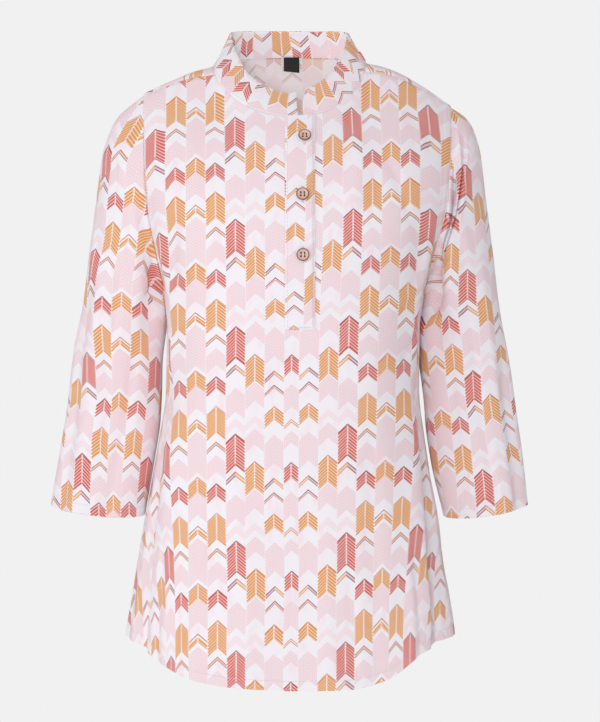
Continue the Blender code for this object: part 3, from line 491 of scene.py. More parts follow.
half_width = {RIGHT: column(SECTIONS, "height", "right"), LEFT: column(SECTIONS, "height", "left")}
depth = {"front": column(SECTIONS, "height", "front"), "back": column(SECTIONS, "height", "back")}
squareness = column(SECTIONS, "height", "square")
ridge_height = {RIGHT: column(RIDGE, "out", "right"), LEFT: column(RIDGE, "out", "left")}
hem_lift = {RIGHT: column(HEM_RISES, "turn", "right"), LEFT: column(HEM_RISES, "turn", "left")}


def smooth_step(x, start, end):
    t = np.clip((np.asarray(x, float) - start) / (end - start), 0, 1)
    return t * t * (3 - 2 * t)


def unit(vectors):
    return vectors / np.maximum(np.linalg.norm(vectors, axis=-1, keepdims=True), 1e-12)


def along_axis(points, axis):
    """Length of cloth from the grid's first row or column to each point."""
    steps = np.linalg.norm(np.diff(points, axis=axis), axis=-1)
    start = np.zeros_like(np.take(steps, [0], axis=axis))
    return np.cumsum(np.concatenate([start, steps], axis=axis), axis=axis)


def spread(length, steps, fine_start=False, fine_end=False):
    """Shares from 0 to 1 at even steps, with fine ones at an end that is a seam."""
    edge = FINE_EDGE / length
    low = edge if fine_start else np.array([0.0])
    high = 1 - edge[::-1] if fine_end else np.array([1.0])
    return np.concatenate([low, np.linspace(low[-1], high[0], steps + 1)[1:-1], high])


# ---------------------------------------------------------------- the body surface


def base_point(side, turn, rise):
    """Points of the unfolded body surface; turn and rise are arrays in radians."""
    turn, rise = np.broadcast_arrays(np.asarray(turn, float), np.asarray(rise, float))
    behind = rise > math.pi / 2
    up = np.where(behind, math.pi - rise, rise)
    z = CHEST_HEIGHT + up / RISE_PER_MM
    out = np.zeros_like(z)
    for _ in range(8):
        power = squareness(z)
        sine, cosine = np.sin(turn), np.maximum(np.cos(turn), 0)
        size = (sine**power + cosine**power) ** (1 / power)
        out = half_width[side](z) * sine / size
        share = cosine / size
        top = CHEST_HEIGHT + (ridge_height[side](out) - CHEST_HEIGHT) * np.sin(up)
        z = np.where(up > 0, top, CHEST_HEIGHT + up / RISE_PER_MM)
    closing = np.where(up > 0, np.cos(up), 1.0)
    y = np.where(behind, depth["back"](z), -depth["front"](z)) * share * closing
    return np.stack([side * out, y, z], -1)


def place_of(side, out, z, face="front"):
    """(turn, rise) of the surface point with that distance from the middle and height."""
    out, z = np.asarray(out, float), np.asarray(z, float)
    across = np.clip(out / half_width[side](z), 0, 1)
    power = squareness(z)
    turn = np.arctan2(across, (1 - across**power) ** (1 / power))
    share = np.clip((z - CHEST_HEIGHT) / (ridge_height[side](out) - CHEST_HEIGHT), -1, 1)
    below = (z - CHEST_HEIGHT) * RISE_PER_MM
    up = np.where(z > CHEST_HEIGHT, np.arcsin(np.maximum(share, 0)), below)
    return turn, math.pi - up if face == "back" else up


def fold_height(side, turn, rise, z):
    """Sum of the folds and creases at these places, which fades towards the seams."""
    behind = rise > math.pi / 2
    total = np.zeros_like(z)
    degrees = np.degrees(turn)
    for fold in BODY_FOLDS + BODY_CREASES:
        if fold.side != side:
            continue
        t = (z - fold.top_z) / (fold.foot_z - fold.top_z)
        line = fold.top_turn + (fold.foot_turn - fold.top_turn) * t
        across = (degrees - line) * BODY_MM_PER_DEGREE / fold.width
        runs_out = fold.foot_z > HEM_HEIGHT
        ends = smooth_step(t, *BODY_FOLD_STARTS) * (1 - smooth_step(t, *BODY_FOLD_ENDS) * runs_out)
        face = behind if fold.face == "back" else ~behind
        total += np.where(face, fold.height * np.exp(-across * across) * ends, 0)
    at_side = 1 - smooth_step(degrees, *SIDE_SEAM_FADE) * (z < UNDERARM_HEIGHT)
    return total * at_side


def surface(side, turn, rise, lift=0.0):
    """Body cloth points with their folds, moved out by lift."""
    turn, rise = np.broadcast_arrays(np.asarray(turn, float), np.asarray(rise, float))
    step = 1e-3
    point = base_point(side, turn, rise)
    along = base_point(side, np.minimum(turn + step, math.pi / 2), rise)
    along = along - base_point(side, np.maximum(turn - step, 0), rise)
    upward = base_point(side, turn, rise + step) - base_point(side, turn, rise - step)
    normal = unit(np.cross(along, upward) * side)
    height = fold_height(side, turn, rise, point[..., 2]) * armhole_fade(side, turn, rise)
    return point + normal * (height + lift)[..., None]


# ---------------------------------------------------------------- seam lines on the body


def armhole_place(side, swing):
    """(turn, rise) on the armhole; swing is 0 at the underarm, 90 on the ridge, 180 again
    at the underarm, round the back."""
    swing = np.asarray(swing, float)
    power = 2 / ARMHOLE_ROUND
    top_out = ARMHOLE_TOP_OUT[side]
    top_turn = float(place_of(side, top_out, ridge_height[side](top_out) - 1e-6)[0])
    foot_rise = (UNDERARM_HEIGHT - CHEST_HEIGHT) * RISE_PER_MM
    sine = np.sin(np.radians(swing))
    cosine = np.cos(np.radians(swing))
    turn = math.pi / 2 - (math.pi / 2 - top_turn) * np.maximum(sine, 0) ** power
    rise = math.pi / 2 - np.sign(cosine) * (math.pi / 2 - foot_rise) * np.abs(cosine) ** power
    return turn, rise


def armhole_fade(side, turn, rise):
    """1 on the open cloth and 0 on the armhole and the side seam, so that seams meet."""
    up = np.where(rise > math.pi / 2, math.pi - rise, rise)
    top_turn = armhole_place(side, 90.0)[0]
    foot_rise = (UNDERARM_HEIGHT - CHEST_HEIGHT) * RISE_PER_MM
    high = np.clip((up - foot_rise) / (math.pi / 2 - foot_rise), 0, 1)
    reach = (1 - (1 - high) ** ARMHOLE_ROUND) ** (1 / ARMHOLE_ROUND)
    edge = math.pi / 2 - (math.pi / 2 - top_turn) * reach
    return smooth_step(edge - turn, 0.0, ARMHOLE_FADE)


def neck_place(side, turn):
    """(turn, rise) on the neckline; the argument is the angle round the neck, 0 in front."""
    turn = np.radians(np.asarray(turn, float))
    out = NECK_HALF[side] * np.abs(np.sin(turn))
    side_z = float(ridge_height[side](NECK_HALF[side]))
    forward = np.cos(turn)
    reach = np.where(forward > 0, NECK_FRONT_HEIGHT - side_z, NECK_BACK_HEIGHT - side_z)
    power = np.where(forward > 0, NECK_FRONT_POWER[side], NECK_BACK_POWER)
    z = side_z + reach * np.abs(forward) ** power
    z = np.minimum(z, ridge_height[side](out) - 1e-6)
    front = place_of(side, out, z)
    back = place_of(side, out, z, "back")
    return front[0], np.where(forward > 0, front[1], back[1])


def crossing(curve, low, high, rise):
    """The argument at which a seam curve, such as the neckline, has that rise."""
    growing = float(curve(high)[1]) > float(curve(low)[1])
    for _ in range(50):
        middle = (low + high) / 2
        if (float(curve(middle)[1]) < rise) == growing:
            low = middle
        else:
            high = middle
    return (low + high) / 2


def at_shares(curve, side, start, end, shares):
    """Arguments from start to end, at these shares of the way along the cloth."""
    fine = np.linspace(start, end, 601)
    length = along_axis(surface(side, *curve(fine)), 0)
    return np.interp(np.asarray(shares) * length[-1], length, fine)


def hem_place(side, turn, face):
    z = HEM_HEIGHT + hem_lift[side](np.degrees(turn))
    up = (z - CHEST_HEIGHT) * RISE_PER_MM
    return turn, math.pi - up if face == "back" else up


def blended(inner, outer, foot, top, down, across):
    """A grid of (turn, rise) inside its four edges; each edge is (turns, rises)."""
    s, t = across[None, :], down[:, None]
    grids = []
    for i, o, f, p in zip(inner, outer, foot, top):
        grid = (1 - s) * i[:, None] + s * o[:, None] + (1 - t) * f[None, :] + t * p[None, :]
        grid -= (1 - s) * (1 - t) * f[0] + s * (1 - t) * f[-1] + (1 - s) * t * p[0] + s * t * p[-1]
        grids.append(grid)
    return grids


def row_heights():
    """Heights of the rows from the hem to the underarm, at the middle of the body. The
    placket's foot is one of them."""
    hem = HEM_HEIGHT + HEM_ROWS
    span = UNDERARM_HEIGHT - hem[-1]
    to_foot = round(ROWS_TO_UNDERARM * (PLACKET_FOOT - hem[-1]) / span)
    low = np.linspace(hem[-1], PLACKET_FOOT, to_foot + 1)[1:]
    high = np.linspace(PLACKET_FOOT, UNDERARM_HEIGHT, ROWS_TO_UNDERARM - to_foot + 1)[1:]
    return np.concatenate([hem, low, high]), len(hem) + to_foot


Half = namedtuple("Half", "turn rise points u v neck_row foot_row")


def half_panel(side, face, inner_out):
    """The grid of half a front or back: rows from the hem to the shoulder seam, columns
    from the middle, at x = inner_out, to the side."""
    heights, foot_row = row_heights()
    up_seam = (heights - HEM_HEIGHT) / (UNDERARM_HEIGHT - HEM_HEIGHT)
    seam_foot = HEM_HEIGHT + float(hem_lift[side](90))
    seam_rises = (seam_foot + (UNDERARM_HEIGHT - seam_foot) * up_seam - CHEST_HEIGHT) * RISE_PER_MM
    if face == "back":
        seam_rises = math.pi - seam_rises
    first = math.degrees(math.asin(inner_out / NECK_HALF[side]))
    if face == "back":
        first = 180 - first
    last = crossing(lambda a: neck_place(side, a), 30, 89.9, SEAM_RISE_AT_NECK)
    corner = surface(side, *neck_place(side, first))
    around = along_axis(surface(side, *neck_place(side, np.linspace(first, last, 200))), 0)[-1]
    drop = abs(corner[2] - UNDERARM_HEIGHT)
    below = round(ROWS_TO_SHOULDER * drop / (drop + around))
    neck_angles = at_shares(
        lambda a: neck_place(side, a), side, first, last,
        spread(around, ROWS_TO_SHOULDER - below, fine_end=True),
    )
    climb = np.linspace(UNDERARM_HEIGHT, corner[2], below + 1)[1:-1]
    middle_heights = np.concatenate([heights, climb])
    middle = place_of(side, np.full(len(middle_heights), inner_out), middle_heights, face)
    middle[1][0] = hem_place(side, middle[0][0], face)[1]
    neckline = neck_place(side, neck_angles)
    inner = tuple(np.concatenate(parts) for parts in zip(middle, neckline))

    def on_armhole(swing):
        return armhole_place(side, swing)

    seam = crossing(on_armhole, 10, 89.9, SEAM_RISE_AT_ARM)
    start = 0.0 if face == "front" else 180.0
    high_rows = len(inner[0]) - len(heights)
    reach = along_axis(surface(side, *on_armhole(np.linspace(start, seam, 200))), 0)[-1]
    shares = spread(reach, high_rows + 1 - len(FINE_EDGE), fine_end=True)
    armhole = on_armhole(at_shares(on_armhole, side, start, seam, shares)[1:])
    outer = (
        np.concatenate([np.full(len(heights), math.pi / 2), armhole[0]]),
        np.concatenate([seam_rises, armhole[1]]),
    )
    across = spread(HALF_PANEL_WIDTH, COLUMNS, fine_start=True, fine_end=True)
    foot = hem_place(side, inner[0][0] + (math.pi / 2 - inner[0][0]) * across, face)
    top = tuple(a[-1] + (b[-1] - a[-1]) * across for a, b in zip(inner, outer))
    down = along_axis(surface(side, *inner), 0)
    turn, rise = blended(inner, outer, foot, top, down / down[-1], across)
    points = surface(side, turn, rise)
    neck_row = len(middle_heights)
    return Half(turn, rise, points, *cloth_places(side, face, points, foot_row), neck_row, foot_row)


# ---------------------------------------------------------------- the cloth's coordinates

PITCH_SCALE = smooth_line((-400.0, -216.0, -33.0), (0.963, 1.0, 1.06))
MIDDLE_X = smooth_line((-400.0, -216.0, -33.0), (-2.0, -1.0, -0.7))
BACK_CUT = (11.7, -7.0)

# The cloth is pulled a little out of true: how far its print lies to the wearer's left and
# how far down, in millimetres, at these widths and heights. The values in PULLS, and in
# SLEEVE_PULLS below, come from a program: it matched patches of the photo with patches of
# the render, and these are the offsets that it found, smoothed a little. report.md lists
# them as an open departure from the work order.
PULL_X = (-81, -70, -50, -15, 22, 39, 59, 79)
Pull = namedtuple("Pull", "z across down")
PULLS = (
    Pull(-393, (3.6, -0.2, 0.5, 0.2, 0.8, 0.6, -0.2, -6.5), (0.3, 0.3, 0.6, 3.8, 3.4, 2.8, 2.3, 2.0)),
    Pull(-366, (3.4, 0.0, 1.0, 1.0, 0.3, 0.1, -0.8, -5.0), (-1.5, -0.7, -0.6, 1.2, 3.1, 2.2, 1.4, 1.0)),
    Pull(-339, (2.6, 0.4, 0.6, 1.0, 0.5, 0.5, -0.5, -3.5), (-1.5, -0.7, -0.3, 0.5, 2.4, 2.0, 0.9, 1.3)),
    Pull(-311, (1.0, 0.4, 0.1, -0.1, 0.2, 0.0, -0.5, -1.6), (0.0, 0.0, 0.1, 0.7, 1.5, 1.4, 1.1, 1.2)),
    Pull(-257, (0.3, 0.3, 0.0, -0.1, 0.1, 0.2, 0.0, 0.2), (0.5, 0.5, 0.5, 0.6, 0.9, 1.1, 1.1, 0.6)),
    Pull(-203, (-0.7, -0.7, 0.7, 0.0, 0.1, 0.1, 0.1, -0.6), (0.9, 0.9, 0.7, 0.9, 0.6, 0.9, 1.3, 1.0)),
    Pull(-175, (-0.2, -0.2, 1.2, 0.6, 0.5, 0.3, 0.4, 0.2), (1.1, 1.1, 0.7, 0.3, 0.0, 0.5, 0.9, 1.4)),
    Pull(-148, (0.8, 0.8, 1.6, 0.8, 1.2, 0.9, 0.3, 0.4), (0.8, 0.8, 0.9, 0.9, 0.1, 0.8, 1.2, 1.7)),
    Pull(-124, (1.8, 1.8, 1.5, 0.7, 2.2, 2.0, 0.7, 0.2), (0.3, 0.3, 0.6, 0.6, 0.6, 0.7, 1.2, 1.7)),
    Pull(-101, (2.2, 2.2, 1.8, 0.7, 2.0, 2.0, 1.0, -0.9), (0.7, 0.7, 0.5, 1.0, 0.4, 0.7, 1.2, 2.3)),
    Pull(-77, (2.7, 2.7, 1.9, 1.0, 1.8, 1.4, 0.3, -1.8), (1.3, 1.3, 1.0, 1.9, 1.1, 1.1, 1.7, 3.4)),
    Pull(-53, (3.8, 3.8, 1.7, 1.4, 1.6, 1.0, -0.4, -2.4), (2.8, 2.8, 1.4, 2.2, 1.8, 2.1, 2.4, 4.2)),
    Pull(-33, (4.1, 4.1, 1.9, 1.8, 1.0, -0.1, -1.8, -4.6), (4.8, 4.8, 2.1, 2.6, 2.6, 3.4, 4.6, 7.0)),
)


def pulled(x, z, way, widths, pulls):
    """How far the print is pulled that way at each point."""
    heights = [pull.z for pull in pulls]
    table = np.array([getattr(pull, way) for pull in pulls])
    rows = np.stack([np.interp(z, heights, column) for column in table.T], -1)
    place = np.interp(x, widths, np.arange(len(widths)))
    before = np.minimum(place.astype(int), len(widths) - 2)
    share = place - before
    low = np.take_along_axis(rows, before[..., None], -1)[..., 0]
    high = np.take_along_axis(rows, before[..., None] + 1, -1)[..., 0]
    return low + (high - low) * share


Gather = namedtuple("Gather", "z share")
GATHER_FROM = 79.0  # from here to the side seam the cloth is gathered near the hem
GATHERS = {  # the share of the width that the gathers take up, judged
    RIGHT: (Gather(-379, 1.1), Gather(-339, 0.8), Gather(-300, 0.3), Gather(-257, 0.0)),
    LEFT: (Gather(-379, 0.6), Gather(-339, 0.45), Gather(-300, 0.15), Gather(-257, 0.0)),
}
STEEP_ACROSS = 0.5  # slopes below these are seen as flat
STEEP_UP = 0.6


def cloth_places(side, face, points, from_row):
    """(u, v) of a half panel's points, by lengths of cloth from its middle and from the
    row at the placket's foot. The back is cut from another place in the print."""
    x, y, z = points[..., 0], points[..., 1], points[..., 2]
    scale = PITCH_SCALE(z)
    dx, dy = np.diff(x, axis=1), np.abs(np.diff(y, axis=1))
    across = np.hypot(dx, np.maximum(dy - STEEP_ACROSS * np.abs(dx), 0)) / scale[:, 1:]
    u = (x[:, :1] - MIDDLE_X(z[:, :1])) / scale[:, :1]
    u = u + side * np.concatenate([np.zeros_like(u), np.cumsum(across, axis=1)], axis=1)
    dz, dy = np.abs(np.diff(z, axis=0)), np.abs(np.diff(y, axis=0))
    rise = np.hypot(dz, np.maximum(dy - STEEP_UP * dz, 0))
    climbed = np.concatenate([np.zeros_like(z[:1]), np.cumsum(rise, axis=0)], axis=0)
    v = V_AT_ORIGIN - z[from_row] - (climbed - climbed[from_row])
    if face == "front":
        u = u - pulled(x, z, "across", PULL_X, PULLS) / scale
        wide = np.maximum(np.abs(x) - GATHER_FROM, 0)
        u = u + side * column(GATHERS[side], "z", "share")(z) * wide
        v = v - pulled(x, z, "down", PULL_X, PULLS)
    v = v + ROW_SKEW * u
    if face == "back":
        u, v = u + BACK_CUT[0], v + BACK_CUT[1]
    return u, v


Guide = namedtuple("Guide", "z x")
SLEEVE_MIDDLES = {  # the middle line of one column, down the front of each sleeve
    RIGHT: (
        Guide(-294.4, -122.3),
        Guide(-257.0, -119.7),
        Guide(-223.7, -118.0),
        Guide(-187.0, -117.8),
        Guide(-156.4, -116.3),
        Guide(-117.6, -112.4),
        Guide(-83.6, -108.1),
        Guide(-53.0, -100.0),
    ),
    LEFT: (
        Guide(-304.6, 119.0),
        Guide(-280.8, 117.0),
        Guide(-259.8, 114.9),
        Guide(-240.7, 113.5),
        Guide(-213.5, 110.5),
        Guide(-191.8, 109.0),
        Guide(-172.0, 107.4),
        Guide(-124.4, 108.8),
        Guide(-72.0, 105.4),
    ),
}
Drop = namedtuple("Drop", "z v")
SLEEVE_DROPS = {  # the place in the print, v, by the height on that line
    RIGHT: (Drop(-320, 126.0), Drop(-294.7, 99.89), Drop(-224.1, 27.13), Drop(-156.4, -45.63),
            Drop(-83.6, -118.39), Drop(-10, -192.0)),
    LEFT: (Drop(-320, 189.4), Drop(-172, 32.57), Drop(-10, -139.05)),
}
SLEEVE_U = {RIGHT: -64.77, LEFT: -51.51}
SLEEVE_SKEW = {RIGHT: 0.128, LEFT: -0.05}

# How the sleeves' print is pulled; these values come from a program too, as those of PULLS.
SLEEVE_PULL_X = {RIGHT: (-148, -131, -118, -104), LEFT: (107, 120, 134, 146)}
SLEEVE_PULLS = {
    RIGHT: (
        Pull(-284, (5.4, 3.7, -1.0, -2.2), (0.7, 0.7, -1.8, -4.6)),
        Pull(-257, (3.6, 2.3, -0.6, -1.3), (0.5, 0.9, -0.7, -2.2)),
        Pull(-230, (5.0, 4.8, -0.2, 0.0), (1.9, 0.7, 0.2, -1.2)),
        Pull(-203, (3.7, 3.3, 0.2, 1.4), (1.9, 1.8, -0.9, -1.6)),
        Pull(-175, (0.4, 0.5, 0.5, 1.5), (-0.9, -0.9, -0.8, -0.7)),
        Pull(-148, (0.4, 0.7, -0.3, -1.0), (-0.3, -1.1, 0.0, -1.0)),
        Pull(-121, (2.6, 5.3, 2.6, -1.4), (-1.1, 0.9, 0.0, -1.3)),
        Pull(-94, (2.8, 4.7, 3.5, -0.4), (0.8, 0.4, 1.3, 1.6)),
        Pull(-67, (0.5, 0.5, 0.8, 0.5), (1.2, 4.2, 1.0, 0.0)),
    ),
    LEFT: (
        Pull(-284, (0.1, -1.1, -1.3, -1.3), (-1.4, -1.1, -1.4, -1.4)),
        Pull(-257, (0.4, -0.5, -3.7, -4.0), (-0.3, 0.1, -3.1, -3.1)),
        Pull(-230, (-0.2, -2.2, -5.2, -5.2), (0.0, 0.0, -2.1, -2.1)),
        Pull(-203, (-0.3, -0.8, -3.4, -4.0), (0.5, 0.7, -1.4, -1.4)),
        Pull(-175, (-2.0, -1.4, -2.0, -2.0), (0.2, 0.3, -0.3, -0.3)),
        Pull(-148, (-1.7, -2.3, -2.9, -2.3), (-0.2, 0.1, -0.6, -0.9)),
        Pull(-121, (-1.0, -2.8, -3.0, -2.8), (0.7, 0.6, -1.8, -1.9)),
        Pull(-94, (-3.2, -4.2, -3.1, -2.4), (-2.1, -2.0, -0.9, -0.2)),
        Pull(-67, (-2.3, -1.7, -0.8, -0.8), (-1.7, -2.6, -1.7, -1.7)),
    ),
}
EDGE_ROUND = 12.0  # how round the sleeve's outer edge is


def sleeve_places(side, points):
    """(u, v) of a sleeve's points. The grid goes round from the seam under the arm, over
    the front to the outside, and by the back to the seam again. Behind, the columns of the
    print hang straight down from where they come over the outer edge."""
    x, y, z = points[..., 0], points[..., 1], points[..., 2]
    length = np.concatenate([
        np.zeros_like(x[:, :1]),
        np.cumsum(np.hypot(np.diff(x, axis=1), np.diff(y, axis=1)), axis=1),
    ], axis=1)
    off = (x - column(SLEEVE_MIDDLES[side], "z", "x")(z)) * side
    columns = x.shape[1]
    front = slice(columns // 12, columns * 5 // 12)
    nearest = np.argmin(np.abs(off[:, front]), axis=1) + front.start
    rows = np.arange(len(x))
    middle = length[rows, nearest] - off[rows, nearest]
    across = pulled(x, z, "across", SLEEVE_PULL_X[side], SLEEVE_PULLS[side])
    down = pulled(x, z, "down", SLEEVE_PULL_X[side], SLEEVE_PULLS[side])
    level = z + SLEEVE_SKEW[side] * (off * side - across) + down
    run = length - middle[:, None]
    edge = columns // 2
    edge_off = np.interp(z, z[::-1, edge], off[::-1, edge])
    edge_run = np.interp(z, z[::-1, edge], run[::-1, edge])
    away = np.maximum(edge_off - off, 0)
    behind = edge_run + np.sqrt(away * (away + 2 * EDGE_ROUND))
    run = np.where(np.arange(columns) > edge, behind, run)
    u = SLEEVE_U[side] + side * run - across
    return u, column(SLEEVE_DROPS[side], "z", "v")(level)


# ---------------------------------------------------------------- materials


def linear(colour):
    """An sRGB colour as Blender's linear one, with alpha."""
    c = np.asarray(colour, float)
    c = np.where(c <= 0.04045, c / 12.92, ((c + 0.055) / 1.055) ** 2.4)
    return (*c.tolist(), 1.0)


class Graph:
    """Short ways to add and join the nodes of one material."""

    def __init__(self, name, roughness, sheen=0.0, specular=0.3):
        self.material = bpy.data.materials.new(name)
        self.material.use_nodes = True
        self.nodes = self.material.node_tree.nodes
        self.links = self.material.node_tree.links
        self.shader = self.nodes["Principled BSDF"]
        self.shader.inputs["Roughness"].default_value = roughness
        self.shader.inputs["Sheen Weight"].default_value = sheen
        self.shader.inputs["Sheen Roughness"].default_value = 0.45
        self.shader.inputs["Specular IOR Level"].default_value = specular

    def put(self, value, socket):
        if isinstance(value, bpy.types.NodeSocket):
            self.links.new(value, socket)
        else:
            socket.default_value = value

    def math(self, operation, *values, clamp=False):
        node = self.nodes.new("ShaderNodeMath")
        node.operation = operation
        node.use_clamp = clamp
        for value, socket in zip(values, node.inputs):
            self.put(value, socket)
        return node.outputs[0]

    def mix(self, factor, a, b, blend="MIX"):
        node = self.nodes.new("ShaderNodeMix")
        node.data_type = "RGBA"
        node.blend_type = blend
        for value, socket in zip((factor, a, b), (node.inputs[0], node.inputs[6], node.inputs[7])):
            self.put(value, socket)
        return node.outputs[2]

    def between(self, value, low, high):
        """0 at low, 1 at high, smooth between."""
        node = self.nodes.new("ShaderNodeMapRange")
        node.interpolation_type = "SMOOTHSTEP"
        for v, socket in zip((value, low, high), node.inputs):
            self.put(v, socket)
        return node.outputs[0]

    def combine(self, *values):
        node = self.nodes.new("ShaderNodeCombineXYZ")
        for value, socket in zip(values, node.inputs):
            self.put(value, socket)
        return node.outputs[0]

    def noise(self, vector, scale, detail=2.0, rough=0.5):
        node = self.nodes.new("ShaderNodeTexNoise")
        self.links.new(vector, node.inputs["Vector"])
        node.inputs["Scale"].default_value = scale
        node.inputs["Detail"].default_value = detail
        node.inputs["Roughness"].default_value = rough
        return node.outputs[0]

    def ramp(self, factor, stops):
        """A stepped ramp; stops are (place, colour with alpha)."""
        node = self.nodes.new("ShaderNodeValToRGB")
        node.color_ramp.interpolation = "CONSTANT"
        elements = node.color_ramp.elements
        for place, _ in stops[2:]:
            elements.new(place)
        for element, (place, colour) in zip(elements, stops):
            element.position = place
            element.color = colour
        self.links.new(factor, node.inputs[0])
        return node.outputs[0], node.outputs[1]

    def bump(self, height, strength, distance):
        node = self.nodes.new("ShaderNodeBump")
        node.inputs["Strength"].default_value = strength
        node.inputs["Distance"].default_value = distance
        self.links.new(height, node.inputs["Height"])
        return node.outputs[0]

    def finish(self, colour, normal):
        self.put(colour, self.shader.inputs["Base Color"])
        self.links.new(normal, self.shader.inputs["Normal"])
        return self.material


def column_stops(stripes):
    """Ramp stops of one column of the print."""
    stops = [(s.start / STEPS, (*linear(INKS[s.ink])[:3], FILLS[s.fill])) for s in stripes]
    if stops[0][0] > 0:
        stops.insert(0, (0.0, stops[-1][1]))
    return stops


def print_of(g, u, v, barb):
    """(colour, share of ink) of the print, from the cloth's coordinates."""
    place = g.combine(u, v, 0.0)
    wander = g.math("SUBTRACT", g.noise(place, WANDER_SCALE, WANDER_DETAIL), 0.5)
    moved = g.math("ADD", u, g.math("MULTIPLY", wander, WANDER_ACROSS))
    across = g.math("PINGPONG", moved, HALF_REPEAT)
    number = g.math("FLOOR", g.math("DIVIDE", g.math("SUBTRACT", across, F_HALF), COLUMN_WIDTH))
    centre = g.math("MULTIPLY_ADD", g.math("ADD", number, 0.5), COLUMN_WIDTH, F_HALF)
    centre = g.math("MAXIMUM", centre, 0.0)
    off = g.math("ABSOLUTE", g.math("SUBTRACT", across, centre))
    fall = g.math("SUBTRACT", v, g.math("MULTIPLY", off, POINT_SLOPE))
    fall = g.math("ADD", fall, g.math("MULTIPLY", wander, WANDER_DOWN))
    turn = g.math("FRACT", g.math("DIVIDE", fall, PERIOD))
    ink, fill = g.ramp(turn, column_stops(PRINT["F"]))
    for i, name in enumerate("EDCBA"):
        next_ink, next_fill = g.ramp(turn, column_stops(PRINT[name]))
        reached = g.math("GREATER_THAN", number, i - 0.5)
        ink = g.mix(reached, ink, next_ink)
        change = g.math("MULTIPLY", g.math("SUBTRACT", next_fill, fill), reached)
        fill = g.math("ADD", change, fill)
    beside_f = g.math("GREATER_THAN", number, -0.5)
    half = g.math("MULTIPLY_ADD", beside_f, COLUMN_WIDTH / 2 - F_HALF, F_HALF)

    def filled(name):
        return g.math("COMPARE", fill, FILLS[name], SAME_FILL)

    def wave(value, pitch, edge):
        """0 to 1 and back in each pitch, with this soft edge."""
        return g.between(g.math("DIVIDE", g.math("PINGPONG", value, pitch / 2), pitch / 2), *edge)

    washed = g.math("ADD", filled("wash"), filled("two_tone_wash"))
    two_tone = g.math("ADD", filled("two_tone"), filled("two_tone_wash"))
    other_half = g.math("MULTIPLY", two_tone, g.math("LESS_THAN", across, centre))
    ink = g.mix(other_half, ink, linear(INKS["orange"]))
    gap = wave(fall, barb, GAP_EDGE)
    tooth = wave(u, DOT, TOOTH_EDGE)
    beads = g.math("MULTIPLY_ADD", wave(v, SPINE_DOT, BEAD_EDGE), 0.5, 0.5)
    spine = g.math("MULTIPLY", g.math("LESS_THAN", off, SPINE_HALF), beads)
    feather = g.math("MULTIPLY_ADD", gap, GAP_INK - 1.0, 1.0)
    feather = g.math("MULTIPLY", feather, g.math("MULTIPLY_ADD", spine, -SPINE_LIGHT, 1.0))
    dotted = g.math("MULTIPLY_ADD", g.math("MULTIPLY", gap, tooth), -DOT_LIGHT, 1.0)
    share = g.math("MULTIPLY", washed, WASH_INK)
    for part, shown in (
        (g.math("GREATER_THAN", fill, SOLID_FROM), 1.0),
        (filled("feather"), feather),
        (filled("dotted"), dotted),
    ):
        share = g.math("MULTIPLY_ADD", part, shown, share)
    serrated = g.math("MULTIPLY", g.math("MULTIPLY", gap, filled("feather")), -SERRATION)
    edge = g.math("ADD", g.math("SUBTRACT", half, off), serrated)
    inside = g.between(edge, COLUMN_GAP * 0.5, COLUMN_GAP * 1.5)
    return ink, g.math("MULTIPLY", share, inside, clamp=True)


THREAD = 0.34  # from one thread to the next but one
THREAD_HEIGHT = 0.25  # beside the slubs
SLUBS_DOWN, SLUBS_ACROSS = (3.2, 0.16), (0.14, 3.0)  # how they are squeezed along u and v
CLOUD_SQUEEZE, CLOUD_SCALE, CLOUD_EDGE = (1.0, 0.35), 0.11, (0.5, 0.7)
WORN, WORN_MIDDLE = 0.5, 0.96  # how the ink varies with the slubs
SHOW_THROUGH = 0.55  # the share of plain ground on the wrong side
TINT, TINT_EDGE = 0.10, (0.75, 1.25)
WEAVE_BUMP, WEAVE_DEPTH = 0.35, 0.00012
WHITE_CLOTH = linear((0.955, 0.945, 0.965))
CLOUD = linear((0.965, 0.905, 0.930))
WRONG_GROUND = linear((0.960, 0.930, 0.925))
THREAD_SHADE = linear((0.86, 0.84, 0.87))


def squeezed(g, u, v, shares):
    """The cloth's coordinates, squeezed for a noise that is longer one way."""
    return g.combine(g.math("MULTIPLY", u, shares[0]), g.math("MULTIPLY", v, shares[1]), 0.0)


def weave(g, u, v):
    """(height, streaks) of a plain weave with slubs."""
    warp = g.math("SINE", g.math("MULTIPLY", u, 2 * math.pi / THREAD))
    weft = g.math("SINE", g.math("MULTIPLY", v, 2 * math.pi / THREAD))
    threads = g.math("MULTIPLY", warp, weft)
    down = g.noise(squeezed(g, u, v, SLUBS_DOWN), 1.0, 3.0, 0.6)
    across = g.noise(squeezed(g, u, v, SLUBS_ACROSS), 1.0, 3.0, 0.6)
    streaks = g.math("ADD", down, across)
    return g.math("MULTIPLY_ADD", threads, THREAD_HEIGHT, streaks), streaks


